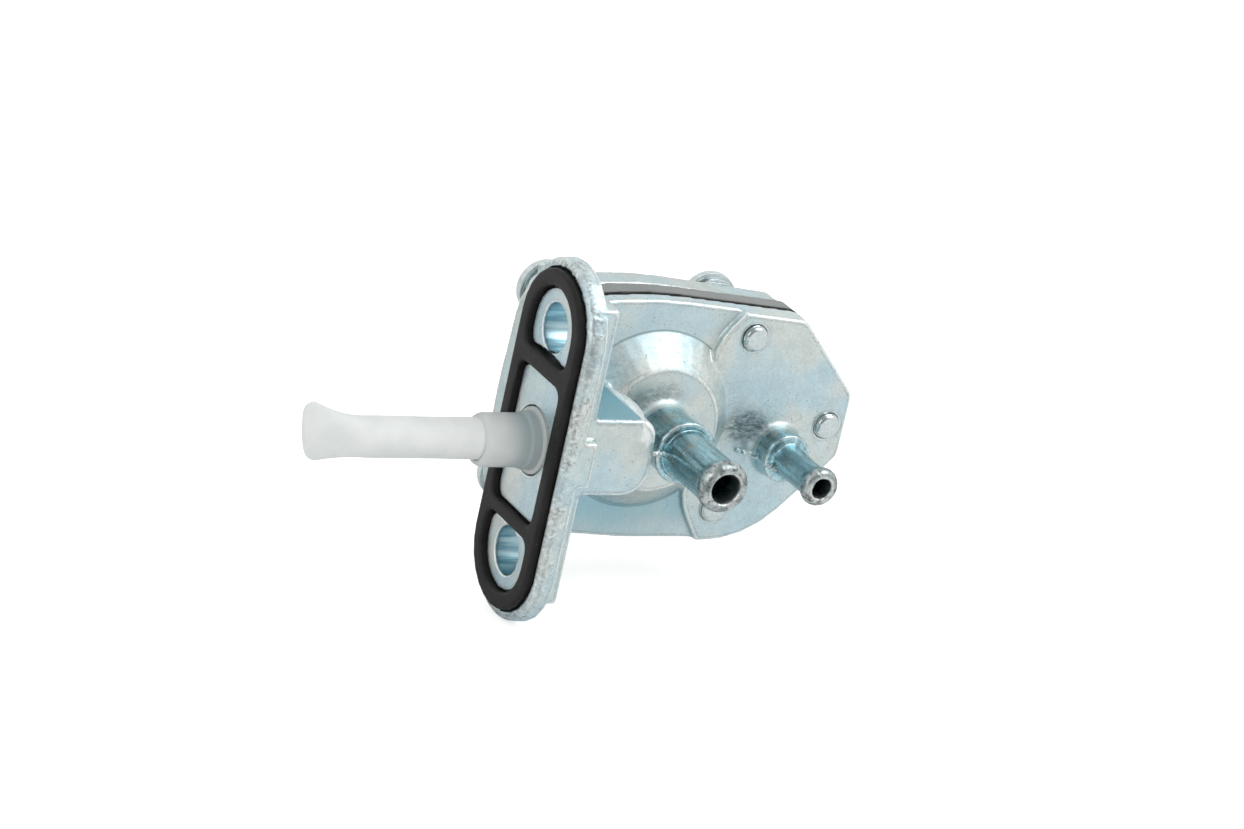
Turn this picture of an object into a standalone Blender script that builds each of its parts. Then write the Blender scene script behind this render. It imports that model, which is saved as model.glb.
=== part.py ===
"""Vacuum-operated fuel tap for a small motorcycle or quad, after a photograph.

Frame: the origin is the centre of the flange's sealing face, -X points into the
fuel tank, +Z runs along the flange, and the hose nipples point to -Y.
All sizes are in metres, written as millimetres times MM.
"""
import math

import bmesh
import bpy
from mathutils import Matrix, Vector

MM = 0.001

# Clearances
FIT_GAP = 0.25 * MM
STEM_CLEARANCE = 0.3 * MM
THREAD_CLEARANCE = 0.2 * MM

# Tank flange, in the plane X = 0
BOLT_PITCH = 34.0 * MM
BOLT_HOLE_D = 7.14 * MM
FLANGE_WIDTH = 20.6 * MM
FLANGE_END_INSET = 0.25 * MM
FLANGE_THICK = 3.0 * MM
FLANGE_EDGE_R = 0.9 * MM
FILTER_SEAT_D = 10.0 * MM
FILTER_SEAT_DEPTH = 4.0 * MM

# Thicker middle of the flange, behind the sealing plate
STEP_THICK = 2.0 * MM
STEP_TOP_Z = 23.5 * MM
STEP_BOTTOM_Z = -21.9 * MM
STEP_CROWN_R = 80.0 * MM
STEP_EDGE_R = 0.5 * MM
RIB_LOW_Z = -2.9 * MM
RIB_HIGH_Z = 3.9 * MM

# Block and humped fuel passage between flange and valve
BLOCK_FACE_Y = -8.5 * MM
BLOCK_REACH = 15.2 * MM
BLOCK_LOW_Z = -4.8 * MM
BLOCK_TOP_R = 2.9 * MM
BLOCK_BOTTOM_R = 4.0 * MM
BLOCK_EDGE_R = 0.5 * MM
HUMP_R = 6.8 * MM
HUMP_REACH = 14.2 * MM
HUMP_END_R = 1.5 * MM
PASSAGE_R = 2.75 * MM
CROSS_DRILL_R = 1.6 * MM
CROSS_DRILL_X = 12.0 * MM

# Plate that carries the diaphragm stack, in planes of constant Y
PLATE_FRONT_Y = 8.5 * MM
PLATE_THICK = 2.5 * MM
PLATE_EDGE_R = 0.37 * MM
PLATE_TOP_Z = 18.6 * MM
PLATE_BOTTOM_Z = -18.8 * MM
PLATE_END_X = 56.2 * MM
PLATE_END_HALF = 5.0 * MM
PLATE_CROWN_DX = -2.0 * MM
PLATE_CROWN_R = 60.0 * MM
PLATE_LEFT_DROP = 1.3 * MM
PLATE_LEFT_RISE = 1.2 * MM
SHOULDER_DX = 8.3 * MM
SHOULDER_DZ = 2.9 * MM
HEEL_DX = 6.1 * MM
HEEL_R = 16.0 * MM
PLATE_CORNER_R = 2.0 * MM
STACK_LEFT_X = 4.0 * MM
STACK_LEFT_R = 90.0 * MM
STACK_CORNER_DX = 0.7 * MM
STACK_CORNER_DZ = 1.2 * MM
STACK_CORNER_R = 5.7 * MM
RAISED_PAD_THICK = 1.3 * MM
RAISED_PAD_X = 31.2 * MM
RAISED_PAD_R = 9.0 * MM
RAISED_PAD_SIDE_DZ = 1.0 * MM
RAISED_PAD_TOP_DX = 4.0 * MM
PAD_INSET = 0.06 * MM

# Valve boss and fuel outlet nipple, turned about a line along Y
VALVE_X = 23.04 * MM
BOSS_BASE_R = 13.7 * MM
BOSS_RIM_R = 9.46 * MM
BOSS_FACE_Y = 4.2 * MM
NECK_R = 4.4 * MM
NECK_FILLET = 1.4 * MM
COLLAR_R = 4.75 * MM
COLLAR_Y = -4.2 * MM
OUTLET_R = 3.5 * MM
OUTLET_BEAD_R = 3.85 * MM
OUTLET_BEAD_LENGTH = 2.6 * MM
OUTLET_TIP_Y = -16.7 * MM
OUTLET_BORE_R = 2.06 * MM
CHAMBER_R = 9.0 * MM
CHAMBER_FLOOR_Y = 6.0 * MM
SEAT_R = 3.2 * MM
SEAT_HEIGHT = 1.0 * MM
DIAPHRAGM_POCKET_R = 12.0 * MM
DIAPHRAGM_POCKET_DEPTH = 2.3 * MM

# Vacuum nipple
VACUUM_X = 44.84 * MM
VACUUM_Z = -3.74 * MM
VACUUM_BASE_R = 4.38 * MM
VACUUM_COLLAR_R = 3.74 * MM
VACUUM_COLLAR_Y = 2.95 * MM
VACUUM_R = 2.38 * MM
VACUUM_BEAD_R = 2.95 * MM
VACUUM_BEAD_LENGTH = 2.2 * MM
VACUUM_TIP_Y = -7.62 * MM
VACUUM_BORE_R = 1.43 * MM

# Five cover screws
SCREW_R = 1.85 * MM
SCREW_TIP_CHAMFER = 0.3 * MM
SCREW_PROUD = 0.9 * MM
SCREW_HEAD_R = 4.35 * MM
SCREW_HEAD_RIM = 1.2 * MM
SCREW_HEAD_HEIGHT = 2.6 * MM
RECESS_WIDTH = 0.9 * MM
RECESS_LENGTH = 4.2 * MM
RECESS_TAPER = 0.75
RECESS_DEPTH = 1.3 * MM
FRONT_SCREW_X = 37.3 * MM
FRONT_SCREW_Z = 13.5 * MM
FRONT_LOWER_DX = -0.4 * MM
REAR_SCREW_X = 9.9 * MM
REAR_SCREW_Z = 14.35 * MM
END_SCREW_INSET = 3.3 * MM
WASHER_OUTER_R = 3.7 * MM
WASHER_THICK = 1.1 * MM
WASHER_SPLIT = 0.6 * MM

# Diaphragm stack
FRONT_RUBBER_THICK = 0.5 * MM
SPACER_THICK = 3.1 * MM
SPACER_HOLE_R = 11.5 * MM
REAR_RUBBER_R = 14.3 * MM
REAR_RUBBER_THICK = 0.5 * MM
COVER_THICK = 4.6 * MM
COVER_EDGE_R = 0.6 * MM
COVER_INSET = 0.4 * MM
CAVITY_R = 11.0 * MM
CAVITY_DEPTH = 2.0 * MM
DOME_BASE_R = 12.2 * MM
DOME_TOP_R = 9.6 * MM
DOME_HEIGHT = 5.0 * MM
DOME_EDGE_R = 1.5 * MM
DOME_WALL = 1.8 * MM
SPRING_POCKET_R = 7.2 * MM

# Plunger group
STEM_R = 1.5 * MM
SPIGOT_R = 1.2 * MM
NOSE_R = 1.6 * MM
NOSE_LENGTH = 0.8 * MM
VALVE_HEAD_R = 4.3 * MM
VALVE_HEAD_THICK = 1.1 * MM
SEAL_R = 3.9 * MM
SEAL_THICK = 1.1 * MM
BACKING_R = 7.5 * MM
BACKING_THICK = 0.9 * MM
SPRING_SEAT_THICK = 1.0 * MM
SPRING_SEAT_LIP = 0.7 * MM
CLIP_R = 3.2 * MM
CLIP_THICK = 0.6 * MM
CLIP_SLOT = 1.4 * MM
STEM_END_LENGTH = 0.8 * MM
SPRING_R = 5.4 * MM
SPRING_WIRE_D = 0.9 * MM
SPRING_TURNS = 4.0

# Rubber gasket of the flange
GASKET_INSET = 1.53 * MM
GASKET_WIDTH = 2.45 * MM
GASKET_PROUD = 0.9 * MM
GASKET_GROOVE_DEPTH = 1.2 * MM
GASKET_EDGE_R = 0.5 * MM
GASKET_LENGTH_INSET = 0.35 * MM
BAR_INNER_Z = 10.0 * MM
BAR_WIDTH = 3.2 * MM
WINDOW_CORNER_R = 1.75 * MM

# Nylon filter
SCREEN_R = 2.95 * MM
SCREEN_WALL = 0.4 * MM
SCREEN_TIP_X = -35.1 * MM
SCREEN_TIP_R = 1.7 * MM
SCREEN_TIP_SLANT = 0.2
SCREEN_ROUND_END_X = -25.5 * MM
SCREEN_FLARE_HALF = 4.4 * MM
SCREEN_FLARE_POWER = 2.1
SCREEN_LIFT = 0.15 * MM
SCREEN_FLARE_LIFT = 0.72 * MM
SCREEN_SEAM_HALF = 0.75 * MM
BASE_COLLAR_X = -8.6 * MM
BASE_COLLAR_R = 3.85 * MM
BASE_SHOULDER_R = 0.6 * MM
BASE_RING_R = 4.15 * MM
BASE_RING_X = -1.6 * MM
BASE_BORE_R = 2.2 * MM
BASE_FOOT_LENGTH = 2.3 * MM
SCREEN_SOCKET_DEPTH = 6.0 * MM

# Places worked out from the sizes above
BLOCK_TOP_Z = HUMP_R
STEP_BACK_X = FLANGE_THICK + STEP_THICK
PLATE_REAR_Y = PLATE_FRONT_Y + PLATE_THICK
RAISED_PAD_Y = PLATE_FRONT_Y - RAISED_PAD_THICK
INSIDE_PLATE_Y = PLATE_FRONT_Y + PLATE_THICK / 2
INSIDE_STEP_X = FLANGE_THICK + STEP_THICK / 2
FRONT_RUBBER_Y = PLATE_REAR_Y + FIT_GAP
SPACER_Y = FRONT_RUBBER_Y + FRONT_RUBBER_THICK + FIT_GAP
SPACER_REAR_Y = SPACER_Y + SPACER_THICK
COVER_Y = SPACER_REAR_Y + FIT_GAP
COVER_REAR_Y = COVER_Y + COVER_THICK
REAR_RUBBER_Y = COVER_Y - FIT_GAP - REAR_RUBBER_THICK
WASHER_Y = COVER_REAR_Y + FIT_GAP
HEAD_Y = WASHER_Y + WASHER_THICK + FIT_GAP
SCREW_TIP_Y = RAISED_PAD_Y - SCREW_PROUD
SCREW_HOLE_R = SCREW_R + THREAD_CLEARANCE
SEAT_Y = CHAMBER_FLOOR_Y + SEAT_HEIGHT
SEAL_Y = SEAT_Y + FIT_GAP
VALVE_HEAD_Y = SEAL_Y + SEAL_THICK + FIT_GAP
FRONT_BACKING_Y = FRONT_RUBBER_Y - FIT_GAP - BACKING_THICK
PUCK_Y = FRONT_RUBBER_Y + FRONT_RUBBER_THICK + FIT_GAP
PUCK_REAR_Y = REAR_RUBBER_Y - FIT_GAP
SPRING_SEAT_Y = REAR_RUBBER_Y + REAR_RUBBER_THICK + FIT_GAP
CLIP_Y = SPRING_SEAT_Y + SPRING_SEAT_THICK + FIT_GAP
STEM_END_Y = CLIP_Y + CLIP_THICK + STEM_END_LENGTH
DOME_TOP_Y = COVER_REAR_Y + DOME_HEIGHT
SPRING_CEILING_Y = DOME_TOP_Y - DOME_WALL
STEM_HOLE_R = STEM_R + STEM_CLEARANCE
END_SCREW_X = PLATE_END_X - END_SCREW_INSET
BAR_OUTER_Z = BAR_INNER_Z + BAR_WIDTH
PLATE_CROWN_X = VALVE_X + PLATE_CROWN_DX
SHOULDER_X = FRONT_SCREW_X + SHOULDER_DX
SHOULDER_Z = FRONT_SCREW_Z + SHOULDER_DZ
SCREW_SPOTS = {
    "front_top": (FRONT_SCREW_X, FRONT_SCREW_Z),
    "front_bottom": (FRONT_SCREW_X + FRONT_LOWER_DX, -FRONT_SCREW_Z),
    "end": (END_SCREW_X, 0.0),
    "rear_top": (REAR_SCREW_X, REAR_SCREW_Z),
    "rear_bottom": (REAR_SCREW_X, -REAR_SCREW_Z),
}

# Facets
ARC_STEP = math.radians(15)
ROUND_STEPS = 36
SMALL_STEPS = 24
FINE_STEPS = 16
WELD = 0.00001
OVERCUT = 1.0 * MM
ROOT_SINK = 0.2 * MM

# How a shape's own axes lie: local Z turned to -Y, or to X
TURN_TO_Y = (math.radians(90), 0, 0)
FLAT_TO_X = (math.radians(90), 0, math.radians(90))
TURN_TO_X = (0, math.radians(-90), 0)


def clear_scene():
    for obj in list(bpy.data.objects):
        bpy.data.objects.remove(obj, do_unlink=True)


def new_collection(name):
    collection = bpy.data.collections.new(name)
    bpy.context.scene.collection.children.link(collection)
    return collection


clear_scene()
PARTS = new_collection("fuel_tap")
CUTTERS = new_collection("cutters")


def finish(name, colour, roughness, metallic):
    """A Principled material with one colour."""
    material = bpy.data.materials.new(name)
    material.use_nodes = True
    shader = material.node_tree.nodes["Principled BSDF"]
    shader.inputs["Base Color"].default_value = (*colour, 1)
    shader.inputs["Roughness"].default_value = roughness
    shader.inputs["Metallic"].default_value = metallic
    return material


ZINC = finish("zinc_plate", (0.60, 0.68, 0.72), 0.35, 1.0)
SCREW_ZINC = finish("screw_zinc", (0.66, 0.70, 0.70), 0.3, 1.0)
SPRING_STEEL = finish("spring_steel", (0.45, 0.45, 0.46), 0.3, 1.0)
RUBBER = finish("black_rubber", (0.02, 0.02, 0.022), 0.7, 0.0)
NYLON = finish("milky_nylon", (0.86, 0.88, 0.88), 0.45, 0.0)
GREY_PLASTIC = finish("grey_plastic", (0.35, 0.36, 0.38), 0.55, 0.0)
ACETAL = finish("white_acetal", (0.80, 0.80, 0.77), 0.4, 0.0)


def place(name, mesh, collection, rotation=(0, 0, 0), location=(0, 0, 0)):
    obj = bpy.data.objects.new(name, mesh)
    obj.rotation_euler = rotation
    obj.location = location
    collection.objects.link(obj)
    return obj


def finished(obj, name, material):
    """Name a piece, give it its material and smooth its round faces."""
    obj.name = name
    obj.data.name = name
    obj.data.materials.clear()
    obj.data.materials.append(material)
    obj.data.shade_smooth()
    obj.data.set_sharp_from_angle(angle=math.radians(35))
    return obj


def arc(centre, radius, start, end, steps=None):
    """Points of an arc from one angle to another, in degrees."""
    sweep = math.radians(end - start)
    steps = steps or max(2, math.ceil(abs(sweep) / ARC_STEP))
    turn = [math.radians(start) + sweep * i / steps for i in range(steps + 1)]
    return [(centre[0] + radius * math.cos(a), centre[1] + radius * math.sin(a)) for a in turn]


def rounded(corners):
    """A closed outline whose corners, each (a, b, radius), are rounded off."""
    points = []
    for i, (a, b, radius) in enumerate(corners):
        here = Vector((a, b))
        if not radius:
            points.append((a, b))
            continue
        before = (Vector(corners[i - 1][:2]) - here).normalized()
        after = (Vector(corners[(i + 1) % len(corners)][:2]) - here).normalized()
        half = before.angle(after) / 2
        centre = here + (before + after).normalized() * (radius / math.sin(half))
        first = here + before * (radius / math.tan(half)) - centre
        last = here + after * (radius / math.tan(half)) - centre
        start = math.degrees(math.atan2(first.y, first.x))
        sweep = math.degrees(math.atan2(first.cross(last), first.dot(last)))
        points += arc(centre, radius, start, start + sweep)
    return points


def as_mesh(curve):
    """Turn a curve object into a mesh object with its caps welded."""
    graph = bpy.context.evaluated_depsgraph_get()
    mesh = bpy.data.meshes.new_from_object(curve.evaluated_get(graph))
    name = curve.name
    curve.name = name + "_curve"
    obj = place(name, mesh, curve.users_collection[0])
    obj.matrix_world = curve.matrix_world
    bpy.data.objects.remove(curve, do_unlink=True)
    bm = bmesh.new()
    bm.from_mesh(mesh)
    bmesh.ops.remove_doubles(bm, verts=bm.verts, dist=WELD)
    bm.to_mesh(mesh)
    bm.free()
    return obj


def flat(name, outlines, axis, low, high, collection=CUTTERS):
    """A flat piece between two planes, from closed outlines in the other two axes."""
    data = bpy.data.curves.new(name, "CURVE")
    data.dimensions = "2D"
    data.fill_mode = "BOTH"
    data.extrude = (high - low) / 2
    for outline in outlines:
        spline = data.splines.new("POLY")
        spline.points.add(len(outline) - 1)
        for point, (a, b) in zip(spline.points, outline):
            point.co = (a, b, 0, 1)
        spline.use_cyclic_u = True
    middle = (low + high) / 2
    if axis == "Y":
        curve = place(name, data, collection, TURN_TO_Y, (0, middle, 0))
    else:
        curve = place(name, data, collection, FLAT_TO_X, (middle, 0, 0))
    bpy.context.view_layer.update()
    return as_mesh(curve)


def round_rim(obj, width, side, segments=3):
    """Round the sharp edges where a flat piece's cap on one local Z side meets its walls."""
    bm = bmesh.new()
    bm.from_mesh(obj.data)
    bmesh.ops.dissolve_limit(bm, angle_limit=math.radians(0.1), verts=bm.verts, edges=bm.edges)
    bm.normal_update()
    rim = []
    for edge in bm.edges:
        tilts = sorted(face.normal.z * side for face in edge.link_faces)
        if len(tilts) == 2 and abs(tilts[0]) < 0.1 and tilts[1] > 0.9:
            rim.append(edge)
    bmesh.ops.bevel(
        bm, geom=rim, offset=width, segments=segments, profile=0.5, affect="EDGES",
        material=-1, clamp_overlap=True,
    )
    bm.to_mesh(obj.data)
    bm.free()
    return obj


def turned(name, profile, axis, centre, steps=ROUND_STEPS, collection=CUTTERS):
    """A solid of revolution from (radius, place along the axis), lowest place first."""
    bm = bmesh.new()
    closed = profile[0] == profile[-1]
    verts = [bm.verts.new((radius, 0, -along)) for radius, along in profile[:len(profile) - closed]]
    for first, second in zip(verts, verts[1:] + verts[:1] if closed else verts[1:]):
        bm.edges.new((first, second))
    mesh = bpy.data.meshes.new(name)
    bm.to_mesh(mesh)
    bm.free()
    if axis == "Y":
        obj = place(name, mesh, collection, TURN_TO_Y, (centre[0], 0, centre[1]))
    else:
        obj = place(name, mesh, collection, TURN_TO_X, (0, centre[0], centre[1]))
    screw = obj.modifiers.new("turn", "SCREW")
    screw.axis = "Z"
    screw.steps = steps
    screw.render_steps = steps
    screw.use_merge_vertices = True
    screw.merge_threshold = WELD
    return obj


def use_as_tool(tool):
    tool.hide_render = True
    tool.display_type = "WIRE"


def combine(target, tool, operation):
    """Add a tool to the target's own collection of tools for that operation."""
    name = target.name + "_" + operation.lower()
    if name not in target.modifiers:
        tools = bpy.data.collections.new(name)
        CUTTERS.children.link(tools)
        modifier = target.modifiers.new(name, "BOOLEAN")
        modifier.operation = operation
        modifier.solver = "EXACT"
        modifier.operand_type = "COLLECTION"
        modifier.collection = tools
    CUTTERS.objects.unlink(tool)
    target.modifiers[name].collection.objects.link(tool)
    use_as_tool(tool)


def weld(target):
    """Merge the points that the joins and cuts leave on top of each other."""
    modifier = target.modifiers.new("weld", "WELD")
    modifier.merge_threshold = WELD / 5


def join(target, tool):
    combine(target, tool, "UNION")


def cut(target, tool):
    combine(target, tool, "DIFFERENCE")


def drill(target, name, radius, axis, centre, low, high, steps=SMALL_STEPS):
    """Cut a plain round hole along an axis."""
    profile = [(0, low), (radius, low), (radius, high), (0, high)]
    cut(target, turned(name, profile, axis, centre, steps))


# Outlines

def obround(half_width, centre_z):
    """A slot shape along Z with round ends, in (Y, Z)."""
    return arc((0, centre_z), half_width, 0, 180) + arc((0, -centre_z), half_width, 180, 360)


def plate_right_side(last_x, inset=0):
    """Corners of the plate from its top edge round its right end to its bottom edge."""
    return [
        (SHOULDER_X - inset / 2, SHOULDER_Z - inset, PLATE_CORNER_R),
        (PLATE_END_X - inset, PLATE_END_HALF - inset / 2, PLATE_CORNER_R),
        (PLATE_END_X - inset, -PLATE_END_HALF + inset / 2, PLATE_CORNER_R),
        (FRONT_SCREW_X + HEEL_DX - inset / 2, PLATE_BOTTOM_Z + inset, HEEL_R),
        (last_x, PLATE_BOTTOM_Z + inset, 0),
    ]


def top_edge_z(x):
    """Height of the plate's top edge at a place between its crown and its shoulder."""
    share = (x - PLATE_CROWN_X) / (SHOULDER_X - PLATE_CROWN_X)
    return PLATE_TOP_Z + (SHOULDER_Z - PLATE_TOP_Z) * share


def stack_outline(inset=0):
    """Outline of spacer, diaphragm and cover, in (X, Z), its right side drawn in by an inset."""
    corner_x = STACK_LEFT_X + STACK_CORNER_DX
    return rounded([
        (STACK_LEFT_X, 0, STACK_LEFT_R),
        (corner_x, PLATE_TOP_Z - STACK_CORNER_DZ, STACK_CORNER_R),
        (PLATE_CROWN_X, PLATE_TOP_Z, PLATE_CROWN_R),
        *plate_right_side(VALVE_X, inset),
        (corner_x, PLATE_BOTTOM_Z + STACK_CORNER_DZ, STACK_CORNER_R),
    ])


def plate_outline():
    """Outline of the cast plate, whose left edge is inside the flange's step."""
    return rounded([
        (INSIDE_STEP_X, PLATE_TOP_Z - PLATE_LEFT_DROP, 0),
        (PLATE_CROWN_X, PLATE_TOP_Z, PLATE_CROWN_R),
        *plate_right_side(VALVE_X),
        (INSIDE_STEP_X, PLATE_BOTTOM_Z + PLATE_LEFT_RISE, 0),
    ])


def raised_pad_outline():
    """Outline of the pad round the vacuum nipple, a hair inside the plate's right side."""
    top_x = RAISED_PAD_X + RAISED_PAD_TOP_DX
    side_z = FRONT_SCREW_Z - RAISED_PAD_SIDE_DZ
    return rounded([
        (RAISED_PAD_X, side_z, RAISED_PAD_R),
        (top_x, top_edge_z(top_x) - PAD_INSET, 0),
        *plate_right_side(top_x, PAD_INSET),
        (RAISED_PAD_X, -side_z, RAISED_PAD_R),
    ])


def gasket_outlines(grow):
    """Outer edge and three windows of the flange gasket, each grown by a clearance, in (Y, Z)."""
    half = FLANGE_WIDTH / 2 - GASKET_INSET
    centre_z = BOLT_PITCH / 2 - GASKET_LENGTH_INSET
    inner = half - GASKET_WIDTH - grow
    corner = WINDOW_CORNER_R
    middle = BAR_INNER_Z - grow
    low = BAR_OUTER_Z + grow
    window = [
        (inner, middle, corner), (-inner, middle, corner),
        (-inner, -middle, corner), (inner, -middle, corner),
    ]
    top = rounded([(-inner, centre_z, 0), (-inner, low, corner), (inner, low, corner), (inner, centre_z, 0)])
    top += arc((0, centre_z), inner, 0, 180)[1:-1]
    bottom = [(y, -z) for y, z in top]
    return [obround(half + grow, centre_z), rounded(window), top, bottom]


# Cast body

def nipple_end(bore, tube, bead, tip, bead_length):
    """Profile of a hose nipple's tip, from the bore's edge over the bead to the tube."""
    nose = (tube - bore) * 0.45
    return [
        (0, tip),
        (bore + nose, tip),
        *arc_profile(bead - nose, tip + nose, nose, bead),
        (bead, tip + bead_length * 0.62),
        (tube, tip + bead_length),
    ]


def arc_profile(radius_at, along, size, outer):
    """Quarter round from a nipple's end face to its outside."""
    return [
        (outer - size + size * math.sin(a), along - size * math.cos(a))
        for a in (math.radians(d) for d in (15, 40, 65, 90))
    ]


def make_boss():
    fillet = [
        (NECK_R + NECK_FILLET * (1 - math.cos(a)), BOSS_FACE_Y - NECK_FILLET * (1 - math.sin(a)))
        for a in (math.radians(d) for d in (0, 22, 45, 68, 90))
    ]
    chamfer = 0.3 * MM
    cone = (BOSS_BASE_R - BOSS_RIM_R) / (PLATE_FRONT_Y - BOSS_FACE_Y)
    profile = nipple_end(OUTLET_BORE_R, OUTLET_R, OUTLET_BEAD_R, OUTLET_TIP_Y, OUTLET_BEAD_LENGTH)
    profile += [
        (OUTLET_R, COLLAR_Y),
        (COLLAR_R - chamfer, COLLAR_Y),
        (COLLAR_R, COLLAR_Y + chamfer),
        (NECK_R, COLLAR_Y + 4 * chamfer),
        *fillet,
        (BOSS_RIM_R, BOSS_FACE_Y),
        (BOSS_BASE_R + cone * ROOT_SINK, PLATE_FRONT_Y + ROOT_SINK),
        (BOSS_BASE_R + cone * ROOT_SINK, INSIDE_PLATE_Y),
        (0, INSIDE_PLATE_Y),
    ]
    return turned("boss_form", profile, "Y", (VALVE_X, 0))


def make_vacuum_nipple():
    chamfer = 0.25 * MM
    profile = nipple_end(VACUUM_BORE_R, VACUUM_R, VACUUM_BEAD_R, VACUUM_TIP_Y, VACUUM_BEAD_LENGTH)
    flare = VACUUM_BASE_R - VACUUM_COLLAR_R
    profile += [
        (VACUUM_R, VACUUM_COLLAR_Y - chamfer),
        (VACUUM_R + chamfer, VACUUM_COLLAR_Y),
        (VACUUM_COLLAR_R - chamfer, VACUUM_COLLAR_Y),
        (VACUUM_COLLAR_R, VACUUM_COLLAR_Y + chamfer),
        (VACUUM_COLLAR_R, RAISED_PAD_Y - 2 * flare),
        (VACUUM_COLLAR_R + 0.3 * flare, RAISED_PAD_Y - 0.8 * flare),
        (VACUUM_BASE_R + ROOT_SINK, RAISED_PAD_Y + ROOT_SINK),
        (VACUUM_BASE_R + ROOT_SINK, INSIDE_PLATE_Y),
        (0, INSIDE_PLATE_Y),
    ]
    return turned("vacuum_nipple_form", profile, "Y", (VACUUM_X, VACUUM_Z), SMALL_STEPS)


def make_step():
    """The flange's thicker middle, crowned at both ends, that also carries the plate."""
    def drop(y):
        return STEP_CROWN_R - math.sqrt(STEP_CROWN_R ** 2 - y ** 2)

    across = [BLOCK_FACE_Y + (PLATE_REAR_Y - BLOCK_FACE_Y) * i / 6 for i in range(7)]
    top = [(y, STEP_TOP_Z - drop(y)) for y in reversed(across)]
    bottom = [(y, STEP_BOTTOM_Z + drop(y)) for y in across]
    step = flat("step_form", [top + bottom], "X", FLANGE_THICK / 2, STEP_BACK_X)
    return round_rim(step, STEP_EDGE_R, 1, 2)


def make_block():
    outline = rounded([
        (INSIDE_STEP_X, BLOCK_TOP_Z, 0),
        (INSIDE_STEP_X, BLOCK_LOW_Z, 0),
        (BLOCK_REACH, BLOCK_LOW_Z, BLOCK_BOTTOM_R),
        (BLOCK_REACH, BLOCK_TOP_Z, BLOCK_TOP_R),
    ])
    block = flat("block_form", [outline], "Y", BLOCK_FACE_Y, 0)
    return round_rim(block, BLOCK_EDGE_R, 1, 2)


def make_hump():
    outline = arc((0, 0), HUMP_R, 90, 270) + [(INSIDE_PLATE_Y, -HUMP_R), (INSIDE_PLATE_Y, HUMP_R)]
    hump = flat("hump_form", [outline], "X", INSIDE_STEP_X, HUMP_REACH)
    return round_rim(hump, HUMP_END_R, 1, 3)


def make_body():
    flange = obround(FLANGE_WIDTH / 2, BOLT_PITCH / 2 - FLANGE_END_INSET)
    body = flat("body", [flange], "X", 0, FLANGE_THICK, PARTS)
    round_rim(body, FLANGE_EDGE_R, -1)
    join(body, make_step())
    rib_y = -FLANGE_WIDTH / 2
    rib = [(rib_y, RIB_LOW_Z), (BLOCK_FACE_Y + OVERCUT, RIB_LOW_Z),
           (BLOCK_FACE_Y + OVERCUT, RIB_HIGH_Z), (rib_y, RIB_HIGH_Z)]
    join(body, flat("rib_form", [rib], "X", FLANGE_THICK / 2, STEP_BACK_X))
    join(body, make_block())
    join(body, make_hump())
    plate = flat("plate_form", [plate_outline()], "Y", PLATE_FRONT_Y, PLATE_REAR_Y)
    join(body, round_rim(plate, PLATE_EDGE_R, 1, 2))
    pad = flat("raised_pad_form", [raised_pad_outline()], "Y", RAISED_PAD_Y, INSIDE_PLATE_Y)
    join(body, round_rim(pad, PLATE_EDGE_R, 1, 2))
    join(body, make_boss())
    join(body, make_vacuum_nipple())

    for side in (1, -1):
        name = "bolt_hole_top" if side > 0 else "bolt_hole_bottom"
        spot = (0, side * BOLT_PITCH / 2)
        drill(body, name, BOLT_HOLE_D / 2, "X", spot, -OVERCUT, STEP_BACK_X + OVERCUT)
    filter_bore = [
        (0, -OVERCUT), (FILTER_SEAT_D / 2, -OVERCUT), (FILTER_SEAT_D / 2, FILTER_SEAT_DEPTH),
        (PASSAGE_R, FILTER_SEAT_DEPTH), (PASSAGE_R, CROSS_DRILL_X), (0, CROSS_DRILL_X + PASSAGE_R / 2),
    ]
    cut(body, turned("filter_bore", filter_bore, "X", (0, 0), SMALL_STEPS))
    drill(body, "cross_drill", CROSS_DRILL_R, "Y", (CROSS_DRILL_X, 0), 0, PLATE_REAR_Y + OVERCUT, FINE_STEPS)
    pocket_y = PLATE_REAR_Y - DIAPHRAGM_POCKET_DEPTH
    chamber = [
        (0, OUTLET_TIP_Y - OVERCUT), (OUTLET_BORE_R, OUTLET_TIP_Y - OVERCUT),
        (OUTLET_BORE_R, SEAT_Y), (SEAT_R, SEAT_Y), (SEAT_R, CHAMBER_FLOOR_Y),
        (CHAMBER_R, CHAMBER_FLOOR_Y), (CHAMBER_R, pocket_y), (DIAPHRAGM_POCKET_R, pocket_y),
        (DIAPHRAGM_POCKET_R, PLATE_REAR_Y + OVERCUT), (0, PLATE_REAR_Y + OVERCUT),
    ]
    cut(body, turned("valve_chamber", chamber, "Y", (VALVE_X, 0)))
    drill(body, "vacuum_bore", VACUUM_BORE_R, "Y", (VACUUM_X, VACUUM_Z), VACUUM_TIP_Y - OVERCUT,
          PLATE_REAR_Y + OVERCUT)
    for spot_name, spot in SCREW_SPOTS.items():
        drill(body, "tapped_" + spot_name, SCREW_HOLE_R, "Y", spot, RAISED_PAD_Y - OVERCUT,
              PLATE_REAR_Y + OVERCUT, FINE_STEPS)
    groove = flat("gasket_groove", gasket_outlines(FIT_GAP), "X", -OVERCUT, GASKET_GROOVE_DEPTH)
    cut(body, groove)
    weld(body)
    return finished(body, "body", ZINC)


def make_gasket():
    bottom = GASKET_GROOVE_DEPTH - FIT_GAP
    gasket = flat("flange_gasket", gasket_outlines(0), "X", -GASKET_PROUD, bottom, PARTS)
    round_rim(gasket, GASKET_EDGE_R, -1, 2)
    return finished(gasket, "flange_gasket", RUBBER)


# Nylon filter

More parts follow.
